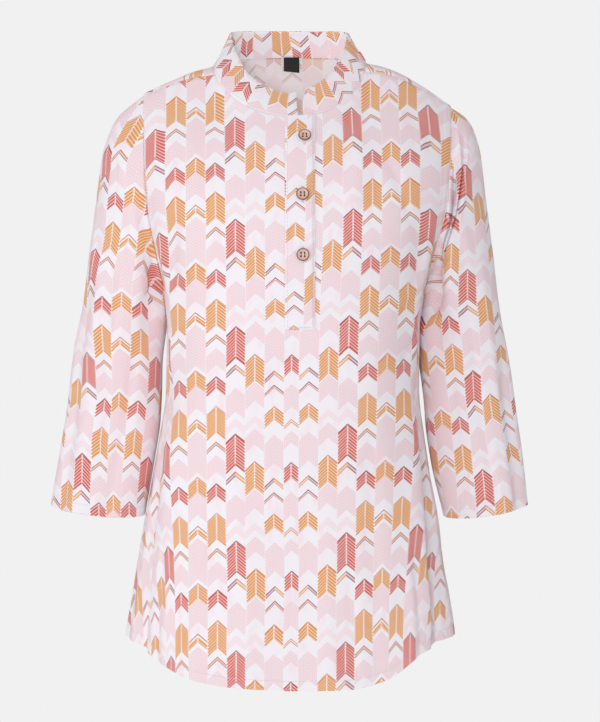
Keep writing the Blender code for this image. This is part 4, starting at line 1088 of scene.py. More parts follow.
def cotton(name, wrong_side=False, barb=BARB):
    """The printed cotton. Its wrong side shows the print faintly, through the cloth."""
    g = Graph(name, 0.86, sheen=0.18, specular=0.2)
    source = g.nodes.new("ShaderNodeUVMap")
    source.uv_map = "cloth"
    parts = g.nodes.new("ShaderNodeSeparateXYZ")
    g.links.new(source.outputs[0], parts.inputs[0])
    u, v = parts.outputs[0], parts.outputs[1]
    ink, share = print_of(g, u, v, barb)
    cloud = g.between(g.noise(squeezed(g, u, v, CLOUD_SQUEEZE), CLOUD_SCALE, 2.0), *CLOUD_EDGE)
    ground = g.mix(cloud, WHITE_CLOTH, CLOUD)
    height, streaks = weave(g, u, v)
    wear = g.math("MULTIPLY_ADD", g.math("SUBTRACT", streaks, 1.0), WORN, WORN_MIDDLE)
    colour = g.mix(g.math("MULTIPLY", share, wear, clamp=True), ground, ink)
    if wrong_side:
        colour = g.mix(SHOW_THROUGH, colour, WRONG_GROUND)
    shade = g.mix(g.between(streaks, *TINT_EDGE), THREAD_SHADE, linear((1, 1, 1)))
    colour = g.mix(TINT, colour, shade, "MULTIPLY")
    return g.finish(colour, g.bump(height, WEAVE_BUMP, WEAVE_DEPTH))


def plain(name, colour, roughness, grain, depth, sheen=0.0, specular=0.3, spots=0.12):
    """A coloured material with fine grain, by the object's own coordinates."""
    g = Graph(name, roughness, sheen, specular)
    source = g.nodes.new("ShaderNodeTexCoord")
    height = g.noise(source.outputs["Object"], grain, 4.0, 0.6)
    tone = g.between(height, 0.3, 0.7)
    dark = tuple(c * (1 - spots) for c in colour)
    return g.finish(g.mix(tone, linear(dark), linear(colour)), g.bump(height, 0.4, depth))


def wood(name):
    """Turned wood: a pale face with fine grain inside a darker rim, whose dark is partly the wood's own
    tone and partly painted shade of the raised edge.
    """
    g = Graph(name, 0.38, specular=0.45)
    source = g.nodes.new("ShaderNodeTexCoord")
    stretch = g.nodes.new("ShaderNodeMapping")
    stretch.inputs["Scale"].default_value = (1.0, 0.16, 0.5)
    g.links.new(source.outputs["Object"], stretch.inputs[0])
    grain = g.noise(stretch.outputs[0], 1900.0, 5.0, 0.65)
    parts = g.nodes.new("ShaderNodeSeparateXYZ")
    g.links.new(source.outputs["Object"], parts.inputs[0])
    squares = [g.math("POWER", parts.outputs[axis], 2.0) for axis in (0, 1)]
    out = g.math("DIVIDE", g.math("SQRT", g.math("ADD", *squares)), BUTTON_RADIUS * METRES)
    streak = g.between(grain, 0.35, 0.65)
    face = g.mix(streak, linear((0.82, 0.66, 0.59)), linear((0.92, 0.80, 0.73)))
    # painted shade: the rim is darkened all round, partly its own darker wood and partly the shade that
    # falls on the raised edge
    rim = g.mix(streak, linear((0.44, 0.29, 0.26)), linear((0.58, 0.42, 0.38)))
    return g.finish(g.mix(g.between(out, 0.74, 0.90), face, rim), g.bump(grain, 0.25, 0.00008))


PRINTED = cotton("printed_cotton")
SLEEVE_PRINTED = cotton("printed_cotton_of_sleeves", barb=SLEEVE_BARB)
WRONG_SIDE = cotton("printed_cotton_wrong_side", wrong_side=True)
THREAD_LOOK = plain("sewing_thread", (0.93, 0.90, 0.91), 0.7, 3000.0, 0.00005, sheen=0.2)
BUTTON_THREAD = plain("button_thread", (0.36, 0.21, 0.18), 0.7, 3000.0, 0.00005, sheen=0.2)
WOOD = wood("turned_wood")
LABEL_LOOK = plain("label_satin", (0.03, 0.03, 0.038), 0.45, 2500.0, 0.00004, sheen=0.3, spots=0.3)


# ---------------------------------------------------------------- meshes


def grid_quads(index):
    """Quads of a grid of point numbers."""
    corners = [index[:-1, :-1], index[:-1, 1:], index[1:, 1:], index[1:, :-1]]
    return np.stack(corners, -1).reshape(-1, 4)


def quads_of(rows, columns, first=0):
    """Quads of a grid whose points are numbered row by row."""
    return grid_quads(first + np.arange(rows * columns).reshape(rows, columns))


def boundary(quads):
    """For each edge that only one quad has: the quad's row and the edge's corner."""
    a, b = quads, np.roll(quads, -1, axis=1)
    key = np.minimum(a, b) * (quads.max() + 1) + np.maximum(a, b)
    _, where, count = np.unique(key.ravel(), return_inverse=True, return_counts=True)
    return np.nonzero((count[where] == 1).reshape(key.shape))


def new_object(name, points, faces, slots, material_index=None, corner_uv=None, sharp=50):
    """A mesh object in metres that rides on the body."""
    mesh = bpy.data.meshes.new(name)
    mesh.from_pydata((points * METRES).tolist(), [], faces)
    for made in slots:
        mesh.materials.append(made)
    if material_index is not None:
        mesh.polygons.foreach_set("material_index", material_index.astype(np.int32))
    if corner_uv is not None:
        layer = mesh.uv_layers.new(name="cloth")
        layer.uv.foreach_set("vector", corner_uv.astype(np.float32).ravel())
    mesh.shade_smooth()
    if sharp:
        mesh.set_sharp_from_angle(angle=math.radians(sharp))
    obj = bpy.data.objects.new(name, mesh)
    bpy.context.scene.collection.objects.link(obj)
    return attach(obj, "root")


def shell(name, outer, inner, quads, uv, uv_quads=None, uv_inner=None, slots=None):
    """Cloth with a right side, a wrong side and a rim. uv_quads number the places of the
    corners, for a grid that closes on itself; uv_inner are those of the wrong side."""
    uv_quads = quads if uv_quads is None else uv_quads
    uv_inner = uv if uv_inner is None else uv_inner
    count = len(outer)
    row, corner = boundary(quads)
    after = (corner + 1) % 4
    a, b = quads[row, corner], quads[row, after]
    ua, ub = uv_quads[row, corner], uv_quads[row, after]
    rim = np.stack([b, a, a + count, b + count], -1)
    faces = np.concatenate([quads, quads[:, ::-1] + count, rim])
    corner_uv = np.concatenate([
        uv[uv_quads].reshape(-1, 2),
        uv_inner[uv_quads[:, ::-1]].reshape(-1, 2),
        np.stack([uv[ub], uv[ua], uv[ua], uv[ub]], 1).reshape(-1, 2),
    ])
    index = np.repeat([0, 1, 0], [len(quads), len(quads), len(row)])
    points = np.concatenate([outer, inner])
    slots = slots or [PRINTED, WRONG_SIDE]
    return new_object(name, points, faces.tolist(), slots, index, corner_uv)


def turned_up(from_edge):
    """(extra wall, dent of its stitching) of the cloth that is turned up at a hem or cuff."""
    end = smooth_step(from_edge, TURN_UP_WIDTH, TURN_UP_WIDTH + TURN_UP_STEP)
    into = (from_edge - TURN_UP_WIDTH + HEM_DENT_FROM_STEP) / HEM_DENT_WIDTH
    return TURN_UP * (1 - end), HEM_DENT * np.exp(-(into**2))


def seam_lift(points, edges, allowance_at=()):
    """How far the cloth of a grid is pressed in at its seams, which are given as
    (axis, end, first, last): -1 is the last row or column and 0 the first."""
    lift = np.zeros(points.shape[:2])
    for axis, end, first, last in edges:
        length = along_axis(points, axis)
        if end == -1:
            length = np.take(length, [-1], axis=axis) - length
        dent = -SEAM_DENT * np.exp(-((length / SEAM_DENT_WIDTH) ** 2))
        if (axis, end) in allowance_at:
            ends = (ALLOWANCE_WIDTH - ALLOWANCE_STEP, ALLOWANCE_WIDTH + ALLOWANCE_STEP)
            dent = dent + ALLOWANCE * smooth_step(length, *ALLOWANCE_START) * (
                1 - smooth_step(length, *ends)
            )
        if axis == 1:
            dent[: max(first, 0)] = 0
            dent[last:] = 0
        lift = lift + dent
    return lift


def panel(name, face, low, high, joined_to_neck):
    """Two half panels and the strip from x = low to x = high that joins their lower rows."""
    halves = [half_panel(RIGHT, face, -low), half_panel(LEFT, face, high)]
    rows, columns = halves[0].turn.shape
    joined = halves[0].foot_row
    if joined_to_neck:
        joined = max(half.neck_row for half in halves) + 1
    outer, inner, uv = [], [], []
    for side, half in zip((RIGHT, LEFT), halves):
        edges = ((1, -1, 0, rows), (0, -1, 0, rows), (1, 0, half.neck_row, rows))
        lift = seam_lift(half.points, edges, ((1, -1), (0, -1)))
        extra, dent = turned_up(along_axis(half.points, 0))
        lift = lift - dent
        outer.append(surface(side, half.turn, half.rise, lift).reshape(-1, 3))
        inner.append(surface(side, half.turn, half.rise, lift - CLOTH - extra).reshape(-1, 3))
        uv.append(np.stack([half.u, half.v], -1).reshape(-1, 2))
    right = np.arange(rows * columns).reshape(rows, columns)
    left = right + rows * columns
    share = np.linspace(0, 1, STRIP_COLUMNS + 1)[None, 1:-1, None]
    strip_rows = slice(0, joined)
    grids = []
    for parts in (outer, inner, uv):
        a = parts[0].reshape(rows, columns, -1)[strip_rows, :1]
        b = parts[1].reshape(rows, columns, -1)[strip_rows, :1]
        grids.append(a * (1 - share) + b * share)
    x, z = grids[0][..., 0], grids[0][..., 2]
    extra, dent = turned_up(along_axis(halves[0].points, 0)[strip_rows, :1])
    grids[0] = face_points(face, x, z, -dent + 0 * x)
    grids[1] = face_points(face, x, z, -dent - CLOTH - extra + 0 * x)
    middle = 2 * rows * columns + np.arange(joined * (STRIP_COLUMNS - 1)).reshape(joined, -1)
    strip = np.concatenate([right[strip_rows, :1], middle, left[strip_rows, :1]], axis=1)
    quads = np.concatenate([
        quads_of(rows, columns)[:, ::-1],
        quads_of(rows, columns, rows * columns),
        grid_quads(strip),
    ])
    if face == "back":
        quads = quads[:, ::-1]
    outer, inner, uv = (
        np.concatenate([*parts, grid.reshape(-1, grid.shape[-1])])
        for parts, grid in zip((outer, inner, uv), grids)
    )
    return shell(name, outer, inner, quads, uv), halves


# ---------------------------------------------------------------- sleeves


def armhole_ring(side, shares):
    """Armhole points from the shoulder seam by the front to the underarm and up the back,
    at these shares of each of the two ways."""

    def on_armhole(swing):
        return armhole_place(side, swing)

    seam = crossing(on_armhole, 10, 89.9, SEAM_RISE_AT_ARM)
    front = at_shares(on_armhole, side, seam, 0.0, shares)
    back = at_shares(on_armhole, side, 180.0, seam, shares)
    return surface(side, *on_armhole(np.concatenate([front, back[1:-1]])))


def sleeve_base(side):
    """Points of a sleeve, ring by ring, from the shoulder seam round by the front."""
    rings = SLEEVES[side]
    keys = np.linspace(0, 1, len(rings))
    table = {key: smooth_line(keys, [getattr(r, key) for r in rings]) for key in Ring._fields}
    start = armhole_ring(side, np.linspace(0, 1, ROWS_TO_SHOULDER + 1))
    sides = len(start)
    top, foot = FINE_EDGE / SLEEVE_LENGTH, 1 - (HEM_ROWS / SLEEVE_LENGTH)[::-1]
    between = np.linspace(top[-1], foot[0], SLEEVE_RINGS)[1:-1]
    along = np.concatenate([top, between, foot])[:, None]
    turn = np.radians(np.arange(sides) * 360 / sides)[None, :]
    row = {key: line(along) for key, line in table.items()}
    sine, cosine = np.sin(turn), np.cos(turn)
    size = (np.abs(sine) ** SLEEVE_SQUARE + np.abs(cosine) ** SLEEVE_SQUARE) ** (1 / SLEEVE_SQUARE)
    across, deep = cosine / size, sine / size
    x = (row["outer_x"] + row["inner_x"]) / 2 + (row["outer_x"] - row["inner_x"]) / 2 * across
    z = (row["outer_z"] + row["inner_z"]) / 2 + (row["outer_z"] - row["inner_z"]) / 2 * across
    z = z - row["droop"] * deep
    y = row["middle_y"] - row["half_depth"] * deep
    points = np.stack([side * x, y, z], -1)
    fade = 1 - smooth_step(along, 0, CAP_BLEND)
    points += (start - points[0])[None] * fade[..., None]
    return points, along, np.degrees(turn)


def ring_normals(side, points):
    round_it = np.roll(points, -1, axis=1) - np.roll(points, 1, axis=1)
    return unit(np.cross(round_it, np.gradient(points, axis=0)) * side)


def sleeve_height(side, folds, along, degrees):
    """Sum of these folds over a sleeve, which starts at the armhole seam."""
    height = np.zeros(np.broadcast(along, degrees).shape)
    for fold in folds:
        if fold.side != side:
            continue
        t = (along - fold.top_along) / (fold.foot_along - fold.top_along)
        line = fold.top_turn + (fold.foot_turn - fold.top_turn) * t
        across = ((degrees - line + 180) % 360 - 180) * SLEEVE_MM_PER_DEGREE / fold.width
        runs_out = fold.foot_along < NEAR_CUFF
        dying = smooth_step(t, *SLEEVE_FOLD_ENDS) * runs_out
        ends = smooth_step(t, *SLEEVE_FOLD_STARTS) * (1 - dying)
        height += fold.height * np.exp(-across * across) * ends
    return height * smooth_step(along, *SLEEVE_FOLD_FROM_SEAM)


def sleeve_points(side):
    """(outer points, inner points, points without the creases for the print to follow)."""
    base, along, degrees = sleeve_base(side)
    normal = ring_normals(side, base)
    even = base + normal * sleeve_height(side, SLEEVE_FOLDS, along, degrees)[..., None]
    points = even + normal * sleeve_height(side, SLEEVE_CREASES, along, degrees)[..., None]
    from_cuff = along_axis(points[::-1], 0)[::-1]
    to_armhole = along_axis(points, 0)
    lift = -SEAM_DENT * np.exp(-((to_armhole / SEAM_DENT_WIDTH) ** 2))
    extra, dent = turned_up(from_cuff)
    lift = lift - dent
    round_it = np.minimum(np.abs(degrees - UNDERARM_TURN), 360) * SLEEVE_MM_PER_DEGREE
    lift = lift - SEAM_DENT * np.exp(-((round_it / SEAM_DENT_WIDTH) ** 2))
    normal = ring_normals(side, points)
    outer = points + normal * lift[..., None]
    inner = points + normal * (lift - CLOTH - extra)[..., None]
    return outer, inner, even


def sleeve(side, name):
    outer, inner, even = sleeve_points(side)
    rings, sides = outer.shape[:2]
    order = (sides // 2 - np.arange(sides + 1)) % sides  # from under the arm over the front
    u, v = sleeve_places(side, even[:, order])
    uv_quads = quads_of(rings, sides + 1)
    numbers = (np.arange(rings)[:, None] * sides + order[None, :]).ravel()
    quads = numbers[uv_quads]
    if side == LEFT:
        quads, uv_quads = quads[:, ::-1], uv_quads[:, ::-1]
    obj = shell(
        name, outer.reshape(-1, 3), inner.reshape(-1, 3), quads,
        np.stack([u, v], -1).reshape(-1, 2), uv_quads, slots=[SLEEVE_PRINTED, WRONG_SIDE],
    )
    return obj, outer


# ---------------------------------------------------------------- collar


def neck_point(turn):
    """Points of the neckline, by the angle round the neck: 0 in front, 90 at +X."""
    turn = np.asarray(turn, float)
    flat = np.mod(turn.ravel() + 180, 360) - 180
    points = np.zeros((len(flat), 3))
    for side in (RIGHT, LEFT):
        mine = flat * side >= 0
        points[mine] = surface(side, *neck_place(side, np.abs(flat[mine])))
    return points.reshape(*turn.shape, 3)


def collar_top(turn):
    """Points of the collar's upper edge, by the same angle."""
    wrapped = np.mod(np.asarray(turn, float) + 180, 360) - 180
    away = np.abs(wrapped)
    out = column(COLLAR_TOPS, "turn", "out")(away) * np.sign(wrapped)
    y = column(COLLAR_TOPS, "turn", "depth")(away)
    z = column(COLLAR_TOPS, "turn", "height")(away)
    return np.stack([out + COLLAR_SHIFT, y, z], -1)


def collar_points(up, foot_turn):
    """Points of the collar, by the share of the way up and the angle at its foot."""
    up, foot_turn = np.broadcast_arrays(up, foot_turn)
    from_left = 1 - smooth_step(foot_turn, COLLAR_ENDS[LEFT][0], 60)
    from_right = smooth_step(foot_turn, 310, 360 + COLLAR_ENDS[RIGHT][0])
    lean_left = COLLAR_ENDS[LEFT][1] - COLLAR_ENDS[LEFT][0]
    lean_right = COLLAR_ENDS[RIGHT][1] - COLLAR_ENDS[RIGHT][0]
    top_turn = foot_turn + (lean_left * from_left + lean_right * from_right) * up
    foot, top = neck_point(foot_turn), collar_top(top_turn)
    around = np.radians(top_turn)
    outward = np.stack([np.sin(around), -np.cos(around), 0 * top_turn], -1)
    bulge = COLLAR_BULGE * 4 * up * (1 - up)
    return foot + (top - foot) * up[..., None] + outward * bulge[..., None]


COLLAR_U, COLLAR_V = 89.0, 49.0  # where the outer layer starts in the print, from a search
COLLAR_INSIDE_U, COLLAR_INSIDE_V = 168.4, 21.9  # and the inner one, from spots read one by one


def collar():
    up = spread(COLLAR_HEIGHT, COLLAR_ROWS, fine_start=True, fine_end=True)[:, None]
    turns = np.linspace(COLLAR_ENDS[LEFT][0], 360 + COLLAR_ENDS[RIGHT][0], COLLAR_COLUMNS)[None, :]
    points = collar_points(up, turns)
    normal = unit(np.cross(np.gradient(points, axis=1), np.gradient(points, axis=0)))
    height = along_axis(points, 0)
    length = along_axis(points, 1)[len(points) // 2]
    edge = np.minimum(height, height[-1] - height)
    edge = np.minimum(edge, np.minimum(length, length[-1] - length)[None, :])
    plump = COLLAR_WALL / 2 * np.sqrt(smooth_step(edge, -0.8, 1.6))
    outer = points + normal * (plump - COLLAR_WALL / 2)[..., None]
    inner = points - normal * (plump + COLLAR_WALL / 2)[..., None]
    u = np.broadcast_to(length[None, :], height.shape)
    uv = np.stack([u + COLLAR_U, COLLAR_V - height], -1).reshape(-1, 2)
    u_inner = COLLAR_INSIDE_U - u
    uv_inner = np.stack([u_inner, COLLAR_INSIDE_V + height - ROW_SKEW * u_inner], -1).reshape(-1, 2)
    obj = shell(
        "collar_band_cloth", outer.reshape(-1, 3), inner.reshape(-1, 3),
        quads_of(*height.shape), uv, uv_inner=uv_inner, slots=[PRINTED, PRINTED],
    )
    return obj, points, normal


# ---------------------------------------------------------------- placket


def face_points(face, x, z, lift):
    """Front or back cloth points with these front-view coordinates, moved out by lift."""
    x, z, lift = np.broadcast_arrays(np.asarray(x, float), np.asarray(z, float), lift)
    right = surface(RIGHT, *place_of(RIGHT, np.abs(x), z, face), lift)
    left = surface(LEFT, *place_of(LEFT, np.abs(x), z, face), lift)
    return np.where((x < 0)[..., None], right, left)


def neck_height(x):
    """Height of the neckline in front at that x."""
    side = np.where(x < 0, NECK_HALF[RIGHT], NECK_HALF[LEFT])
    turn = np.degrees(np.arcsin(np.clip(np.abs(x) / side, 0, 1)))
    return neck_point(np.sign(x) * turn)[..., 2]


BAND_U, BAND_V = 10.9, -21.0  # where the band is cut in the print
BAND_MIDDLE_Z = -157.1
BAND_PITCH, BAND_LEAN = 1.045, 0.018
FREE_EDGE_DROP = 0.4
SEWN_EDGE_LIFT = 0.42  # how high the sewn edges of the upper band stay
SEWN_EDGE_WALL = 0.3
BAND_BELOW_NECK = 0.2
FREE_EDGE_STEP, SEWN_EDGE_STEP, SEWN_WALL_STEP = (-0.4, 1.2), (0.0, 2.4), (0.0, 1.6)
BAND_COLUMNS = 12
UNDERLAP_INSET = 0.3


def placket_band(name, low_x, high_x, foot, lift):
    """One band of the placket, a little plump between its pressed edges."""
    across = spread(high_x - low_x, BAND_COLUMNS, fine_start=True, fine_end=True)
    across = np.unique(np.round(across, 4))
    across = across[(across >= 0) & (across <= 1)]
    x = (low_x + (high_x - low_x) * across)[None, :]
    top = neck_height(x) - BAND_BELOW_NECK
    down = np.concatenate([np.linspace(0, 0.02, 8), np.linspace(0.02, 1, 110)[1:]])[:, None]
    z = foot + (top - foot) * down
    sewn = np.minimum(high_x - x, z - foot)
    free = x - low_x + 0 * z
    height = lift - FREE_EDGE_DROP * (1 - smooth_step(free, *FREE_EDGE_STEP))
    height = height - (lift - SEWN_EDGE_LIFT) * (lift > 0) * (1 - smooth_step(sewn, *SEWN_EDGE_STEP))
    outer = face_points("front", x, z, height)
    wall = CLOTH - (CLOTH - SEWN_EDGE_WALL) * (lift > 0) * (1 - smooth_step(sewn, *SEWN_WALL_STEP))
    inner = face_points("front", x, z, height - wall)
    climb = z - BAND_MIDDLE_Z
    v = V_AT_ORIGIN + BAND_V - BAND_MIDDLE_Z - BAND_PITCH * climb + ROW_SKEW * x
    uv = np.stack(np.broadcast_arrays(x + BAND_U - BAND_LEAN * climb, v), -1)
    rows, columns = z.shape[0], x.shape[1]
    return shell(
        name, outer.reshape(-1, 3), inner.reshape(-1, 3), quads_of(rows, columns), uv.reshape(-1, 2)
    )


# ---------------------------------------------------------------- sewing

STITCH, STITCH_GAP = 1.9, 0.7
STITCH_RADIUS = 0.17
HEM_STITCHES_UP, CUFF_STITCHES_UP = 6.6, 6.6
EDGE_STITCHES = 1.6  # in from an edge that is stitched down
PLACKET_BOX = 9.0
BUTTONHOLE, BAR_PITCH, BAR_LENGTH, BAR_OUT = 11.0, 0.42, 0.9, 0.6
FIRST_STITCH = 0.4
STITCH_RISE = np.array([-0.12, 0.08, 0.13, 0.08, -0.12])[:, None]
HEM_THREAD_LIFT, PLACKET_THREAD_LIFT, BAR_LIFT = -0.15, LAYER - 0.05, LAYER + 0.08
THREAD_TIP = 0.45  # how thin a thread is at its ends
ACROSS_THREADS = np.array([0.31, 0.22, 0.92])  # a direction that no thread follows


def thread_tubes(pieces, radius, sides=6):
    """Points and faces of round threads with tapered ends. Each piece is a line of points."""
    points, faces, first = [], [], 0
    angle = np.arange(sides) * 2 * math.pi / sides
    for line in pieces:
        way = unit(np.gradient(line, axis=0))
        side = unit(np.cross(way, ACROSS_THREADS))
        other = np.cross(way, side)
        thin = np.ones(len(line))
        thin[[0, -1]] = THREAD_TIP
        ring = np.cos(angle)[None, :, None] * side[:, None]
        ring = ring + np.sin(angle)[None, :, None] * other[:, None]
        points.append((line[:, None] + ring * (radius * thin)[:, None, None]).reshape(-1, 3))
        index = first + np.arange(len(line) * sides).reshape(len(line), sides)
        after = np.roll(index, -1, axis=1)
        quads = np.stack([index[:-1], after[:-1], after[1:], index[1:]], -1)
        faces += quads.reshape(-1, 4).tolist()
        faces += [index[0, ::-1].tolist(), index[-1].tolist()]
        first += len(line) * sides
    return np.concatenate(points), faces


def stitches(name, rows):
    """Rows of stitches, each given as its points and their outward directions. A stitch
    is sunk a little at its ends."""
    pieces = []
    for line, normal in rows:
        length = along_axis(line, 0)
        for start in np.arange(FIRST_STITCH, length[-1] - STITCH, STITCH + STITCH_GAP):
            places = np.linspace(start, start + STITCH, len(STITCH_RISE))
            at, up = (
                np.stack([np.interp(places, length, v[:, k]) for k in range(3)], -1)
                for v in (line, normal)
            )
            pieces.append(at + unit(up) * STITCH_RISE)
    points, faces = thread_tubes(pieces, STITCH_RADIUS)
    obj = new_object(name, points, faces, [THREAD_LOOK], sharp=0)
    return obj


def at_distance(grid, distance, wanted):
    """The row of a grid, of any values, that lies this far from its first row."""
    columns = range(grid.shape[1])
    return np.stack([
        np.stack([np.interp(wanted, distance[:, j], grid[:, j, k]) for k in range(grid.shape[2])])
        for j in columns
    ])


def hem_rows(face, halves):
    """The stitches of the hem: along both halves, and across the strip between them."""
    lines = []
    for side, half in zip((RIGHT, LEFT), halves):
        grid = np.stack([half.turn, half.rise], -1)
        place = at_distance(grid, along_axis(half.points, 0), HEM_STITCHES_UP)
        low, high = (surface(side, place[:, 0], place[:, 1], lift) for lift in (HEM_THREAD_LIFT, 1.0))
        lines.append((low, high - low))
    ends = [low[0] for low, _ in lines]
    x, z = (np.linspace(ends[0][k], ends[1][k], 12) for k in (0, 2))
    low, high = (face_points(face, x, z, lift) for lift in (HEM_THREAD_LIFT, 1.0))
    right, left = lines
    return (
        np.concatenate([right[0][::-1], low[1:-1], left[0]]),
        np.concatenate([right[1][::-1], (high - low)[1:-1], left[1]]),
    )


def cuff_row(side, rings):
    """The stitches round a cuff."""
    grid = np.concatenate([rings, rings + ring_normals(side, rings)], -1)[::-1]
    found = at_distance(grid, along_axis(grid[..., :3], 0), CUFF_STITCHES_UP)
    found = np.concatenate([found, found[:1]])
    return found[:, :3] - 0.05 * (found[:, 3:] - found[:, :3]), found[:, 3:] - found[:, :3]


def collar_rows(points, normal):
    """The stitches along the collar's foot, its top and its two ends."""
    grid = np.concatenate([points, normal], -1)
    height, length = along_axis(points, 0), along_axis(points, 1)
    rows = [
        at_distance(grid, height, EDGE_STITCHES),
        at_distance(grid[::-1], along_axis(points[::-1], 0), EDGE_STITCHES),
    ]
    turned = grid.transpose(1, 0, 2)
    rows.append(at_distance(turned, length.T, EDGE_STITCHES))
    rows.append(at_distance(turned[::-1], along_axis(turned[::-1, :, :3], 0), EDGE_STITCHES))
    inset = slice(3, -3)
    return [(row[inset, :3], row[inset, 3:]) for row in rows]


def placket_rows():
    """The stitches of the placket: its two long edges, and the box at its foot."""
    low_x, high_x = PLACKET_EDGES
    foot = PLACKET_FOOT - PLACKET_LAP
    rows = []
    for x in (low_x + EDGE_STITCHES, high_x - EDGE_STITCHES):
        z = np.linspace(foot + EDGE_STITCHES, neck_height(np.array(x)) - 1.0, 90)
        rows.append((x + 0 * z, z))
    for up in (EDGE_STITCHES, EDGE_STITCHES + PLACKET_BOX):
        x = np.linspace(low_x + EDGE_STITCHES, high_x - EDGE_STITCHES, 16)
        rows.append((x, foot + up + 0 * x))
    lifts = (PLACKET_THREAD_LIFT, LAYER + 1)
    on_band = [[face_points("front", x, z, lift) for lift in lifts] for x, z in rows]
    return [(low, high - low) for low, high in on_band]


def buttonhole_stitches():
    """Each buttonhole: bars of thread along both sides of its cut and over its two ends."""
    pieces = []
    for x, z in BUTTON_SPOTS:
        for up in np.arange(-BUTTONHOLE / 2, BUTTONHOLE / 2 + 0.01, BAR_PITCH):
            over_end = abs(up) > BUTTONHOLE / 2 - BAR_LENGTH
            sides = (0.0,) if over_end else (-BAR_OUT, BAR_OUT)
            for middle in sides:
                half = (BAR_OUT if over_end else 0.0) + BAR_LENGTH / 2
                across = x + middle + np.linspace(-half, half, 5)
                pieces.append(face_points("front", across, z + up + 0 * across, BAR_LIFT))
    points, faces = thread_tubes(pieces, STITCH_RADIUS, 5)
    obj = new_object("buttonhole_stitches", points, faces, [THREAD_LOOK], sharp=0)
    return obj


def outward_at(x, z):
    """A point on the front and its outward direction."""
    low, high = face_points("front", x, z, 0.0), face_points("front", x, z, 1.0)
    return low, high - low


# ---------------------------------------------------------------- buttons and label

Turning = namedtuple("Turning", "out up")
BUTTON_PROFILE = (
    Turning(0.0, 0.0), Turning(0.72, 0.0), Turning(0.93, 0.3), Turning(1.0, 0.62),
    Turning(0.975, 0.84), Turning(0.91, 0.97), Turning(0.84, 1.0), Turning(0.77, 0.97),
    Turning(0.70, 0.86), Turning(0.62, 0.7), Turning(0.5, 0.62), Turning(0.3, 0.6),
    Turning(0.0, 0.6),
)
BUTTON_HOLE_RADIUS = 0.66
BUTTON_HOLE_SPREAD = 1.2
BUTTON_THREAD_RADIUS = 0.11
KNOT_RISE = np.array([0.0, 0.1, 0.5, 0.7])
BUTTON_STEPS = 56
BUTTON_SEAT = LAYER + 0.35  # how high over the front's cloth a button lies
FACE_SHARE = 0.6  # the height of its sunk face, as in the last row of the profile
ARCH_RISE, ARCH_DIVE, ARCH_POWER = 0.42, 1.3, 6  # how the thread goes from hole to hole


def button(number, x, z):
    """A turned four-hole button, and the thread that crosses in its holes."""
    name = f"button_{number}"
    mesh = bpy.data.meshes.new(name + "_wood")
    shape = bmesh.new()
    across, up = BUTTON_RADIUS * METRES, BUTTON_HEIGHT * METRES
    ring = [shape.verts.new((p.out * across, 0, p.up * up)) for p in BUTTON_PROFILE]
    edges = [shape.edges.new(pair) for pair in zip(ring, ring[1:])]
    bmesh.ops.spin(
        shape, geom=ring + edges, cent=(0, 0, 0), axis=(0, 0, 1), angle=2 * math.pi,
        steps=BUTTON_STEPS, use_merge=True, use_duplicate=False,
    )
    bmesh.ops.remove_doubles(shape, verts=shape.verts, dist=1e-7)
    bmesh.ops.recalc_face_normals(shape, faces=shape.faces)
    shape.to_mesh(mesh)
    shape.free()
    disc = bpy.data.objects.new(name + "_wood", mesh)
    drill = button_drill(name)
    for obj in (disc, drill):
        bpy.context.scene.collection.objects.link(obj)
    cut = disc.modifiers.new("holes", "BOOLEAN")
    cut.operation, cut.solver, cut.object = "DIFFERENCE", "EXACT", drill
    bpy.context.view_layer.update()
    graph = bpy.context.evaluated_depsgraph_get()
    cut_mesh = bpy.data.meshes.new_from_object(disc.evaluated_get(graph))
    disc.modifiers.clear()
    disc.data = cut_mesh
    bpy.data.objects.remove(drill)
    cut_mesh.materials.clear()
    cut_mesh.materials.append(WOOD)
    cut_mesh.shade_smooth()
    cut_mesh.set_sharp_from_angle(angle=math.radians(40))
    seat, outward = outward_at(x, z)
    outward = unit(outward)
    turn = Vector(outward).to_track_quat("Z", "Y")
    middle = seat + outward * BUTTON_SEAT
    disc.location = middle * METRES
    disc.rotation_mode = "QUATERNION"
    disc.rotation_quaternion = turn
    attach(disc, "root")
    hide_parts(name)
    right, above = np.array(turn @ Vector((1, 0, 0))), np.array(turn @ Vector((0, 1, 0)))
    pieces = []
    for strand in (-BUTTON_THREAD_RADIUS, BUTTON_THREAD_RADIUS):
        for hole_side in (-1, 1):
            share = np.linspace(-1, 1, 15)[:, None]
            along = (right * hole_side + above * share) * BUTTON_HOLE_SPREAD
            beside = right * strand
            arch = BUTTON_HEIGHT * FACE_SHARE + ARCH_RISE - ARCH_DIVE * np.abs(share) ** ARCH_POWER
            pieces.append(middle + along + beside + outward * arch)
    points, faces = thread_tubes(pieces, BUTTON_THREAD_RADIUS, 8)
    knots = []
    for dx in (-1, 1):
        for dy in (-1, 1):
            at = middle + (right * dx + above * dy) * BUTTON_HOLE_SPREAD
            knots.append(at + outward * KNOT_RISE[:, None])
    more_points, more_faces = thread_tubes(knots, BUTTON_HOLE_RADIUS - 0.02, 12)
    faces = faces + [[corner + len(points) for corner in face] for face in more_faces]
    points = np.concatenate([points, more_points])
    thread = new_object(name + "_thread", points, faces, [BUTTON_THREAD], sharp=0)


def button_drill(name):
    """Four round pins that cut a button's holes."""
    shape = bmesh.new()
    for dx in (-1, 1):
        for dy in (-1, 1):
            made = bmesh.ops.create_cone(
                shape, cap_ends=True, segments=20, depth=4 * BUTTON_HEIGHT * METRES,
                radius1=BUTTON_HOLE_RADIUS * METRES, radius2=BUTTON_HOLE_RADIUS * METRES,
            )
            shift = (dx * BUTTON_HOLE_SPREAD * METRES, dy * BUTTON_HOLE_SPREAD * METRES, 0)
            bmesh.ops.translate(shape, verts=made["verts"], vec=shift)
    mesh = bpy.data.meshes.new(name + "_drill")
    shape.to_mesh(mesh)
    shape.free()
    return bpy.data.objects.new(name + "_drill", mesh)


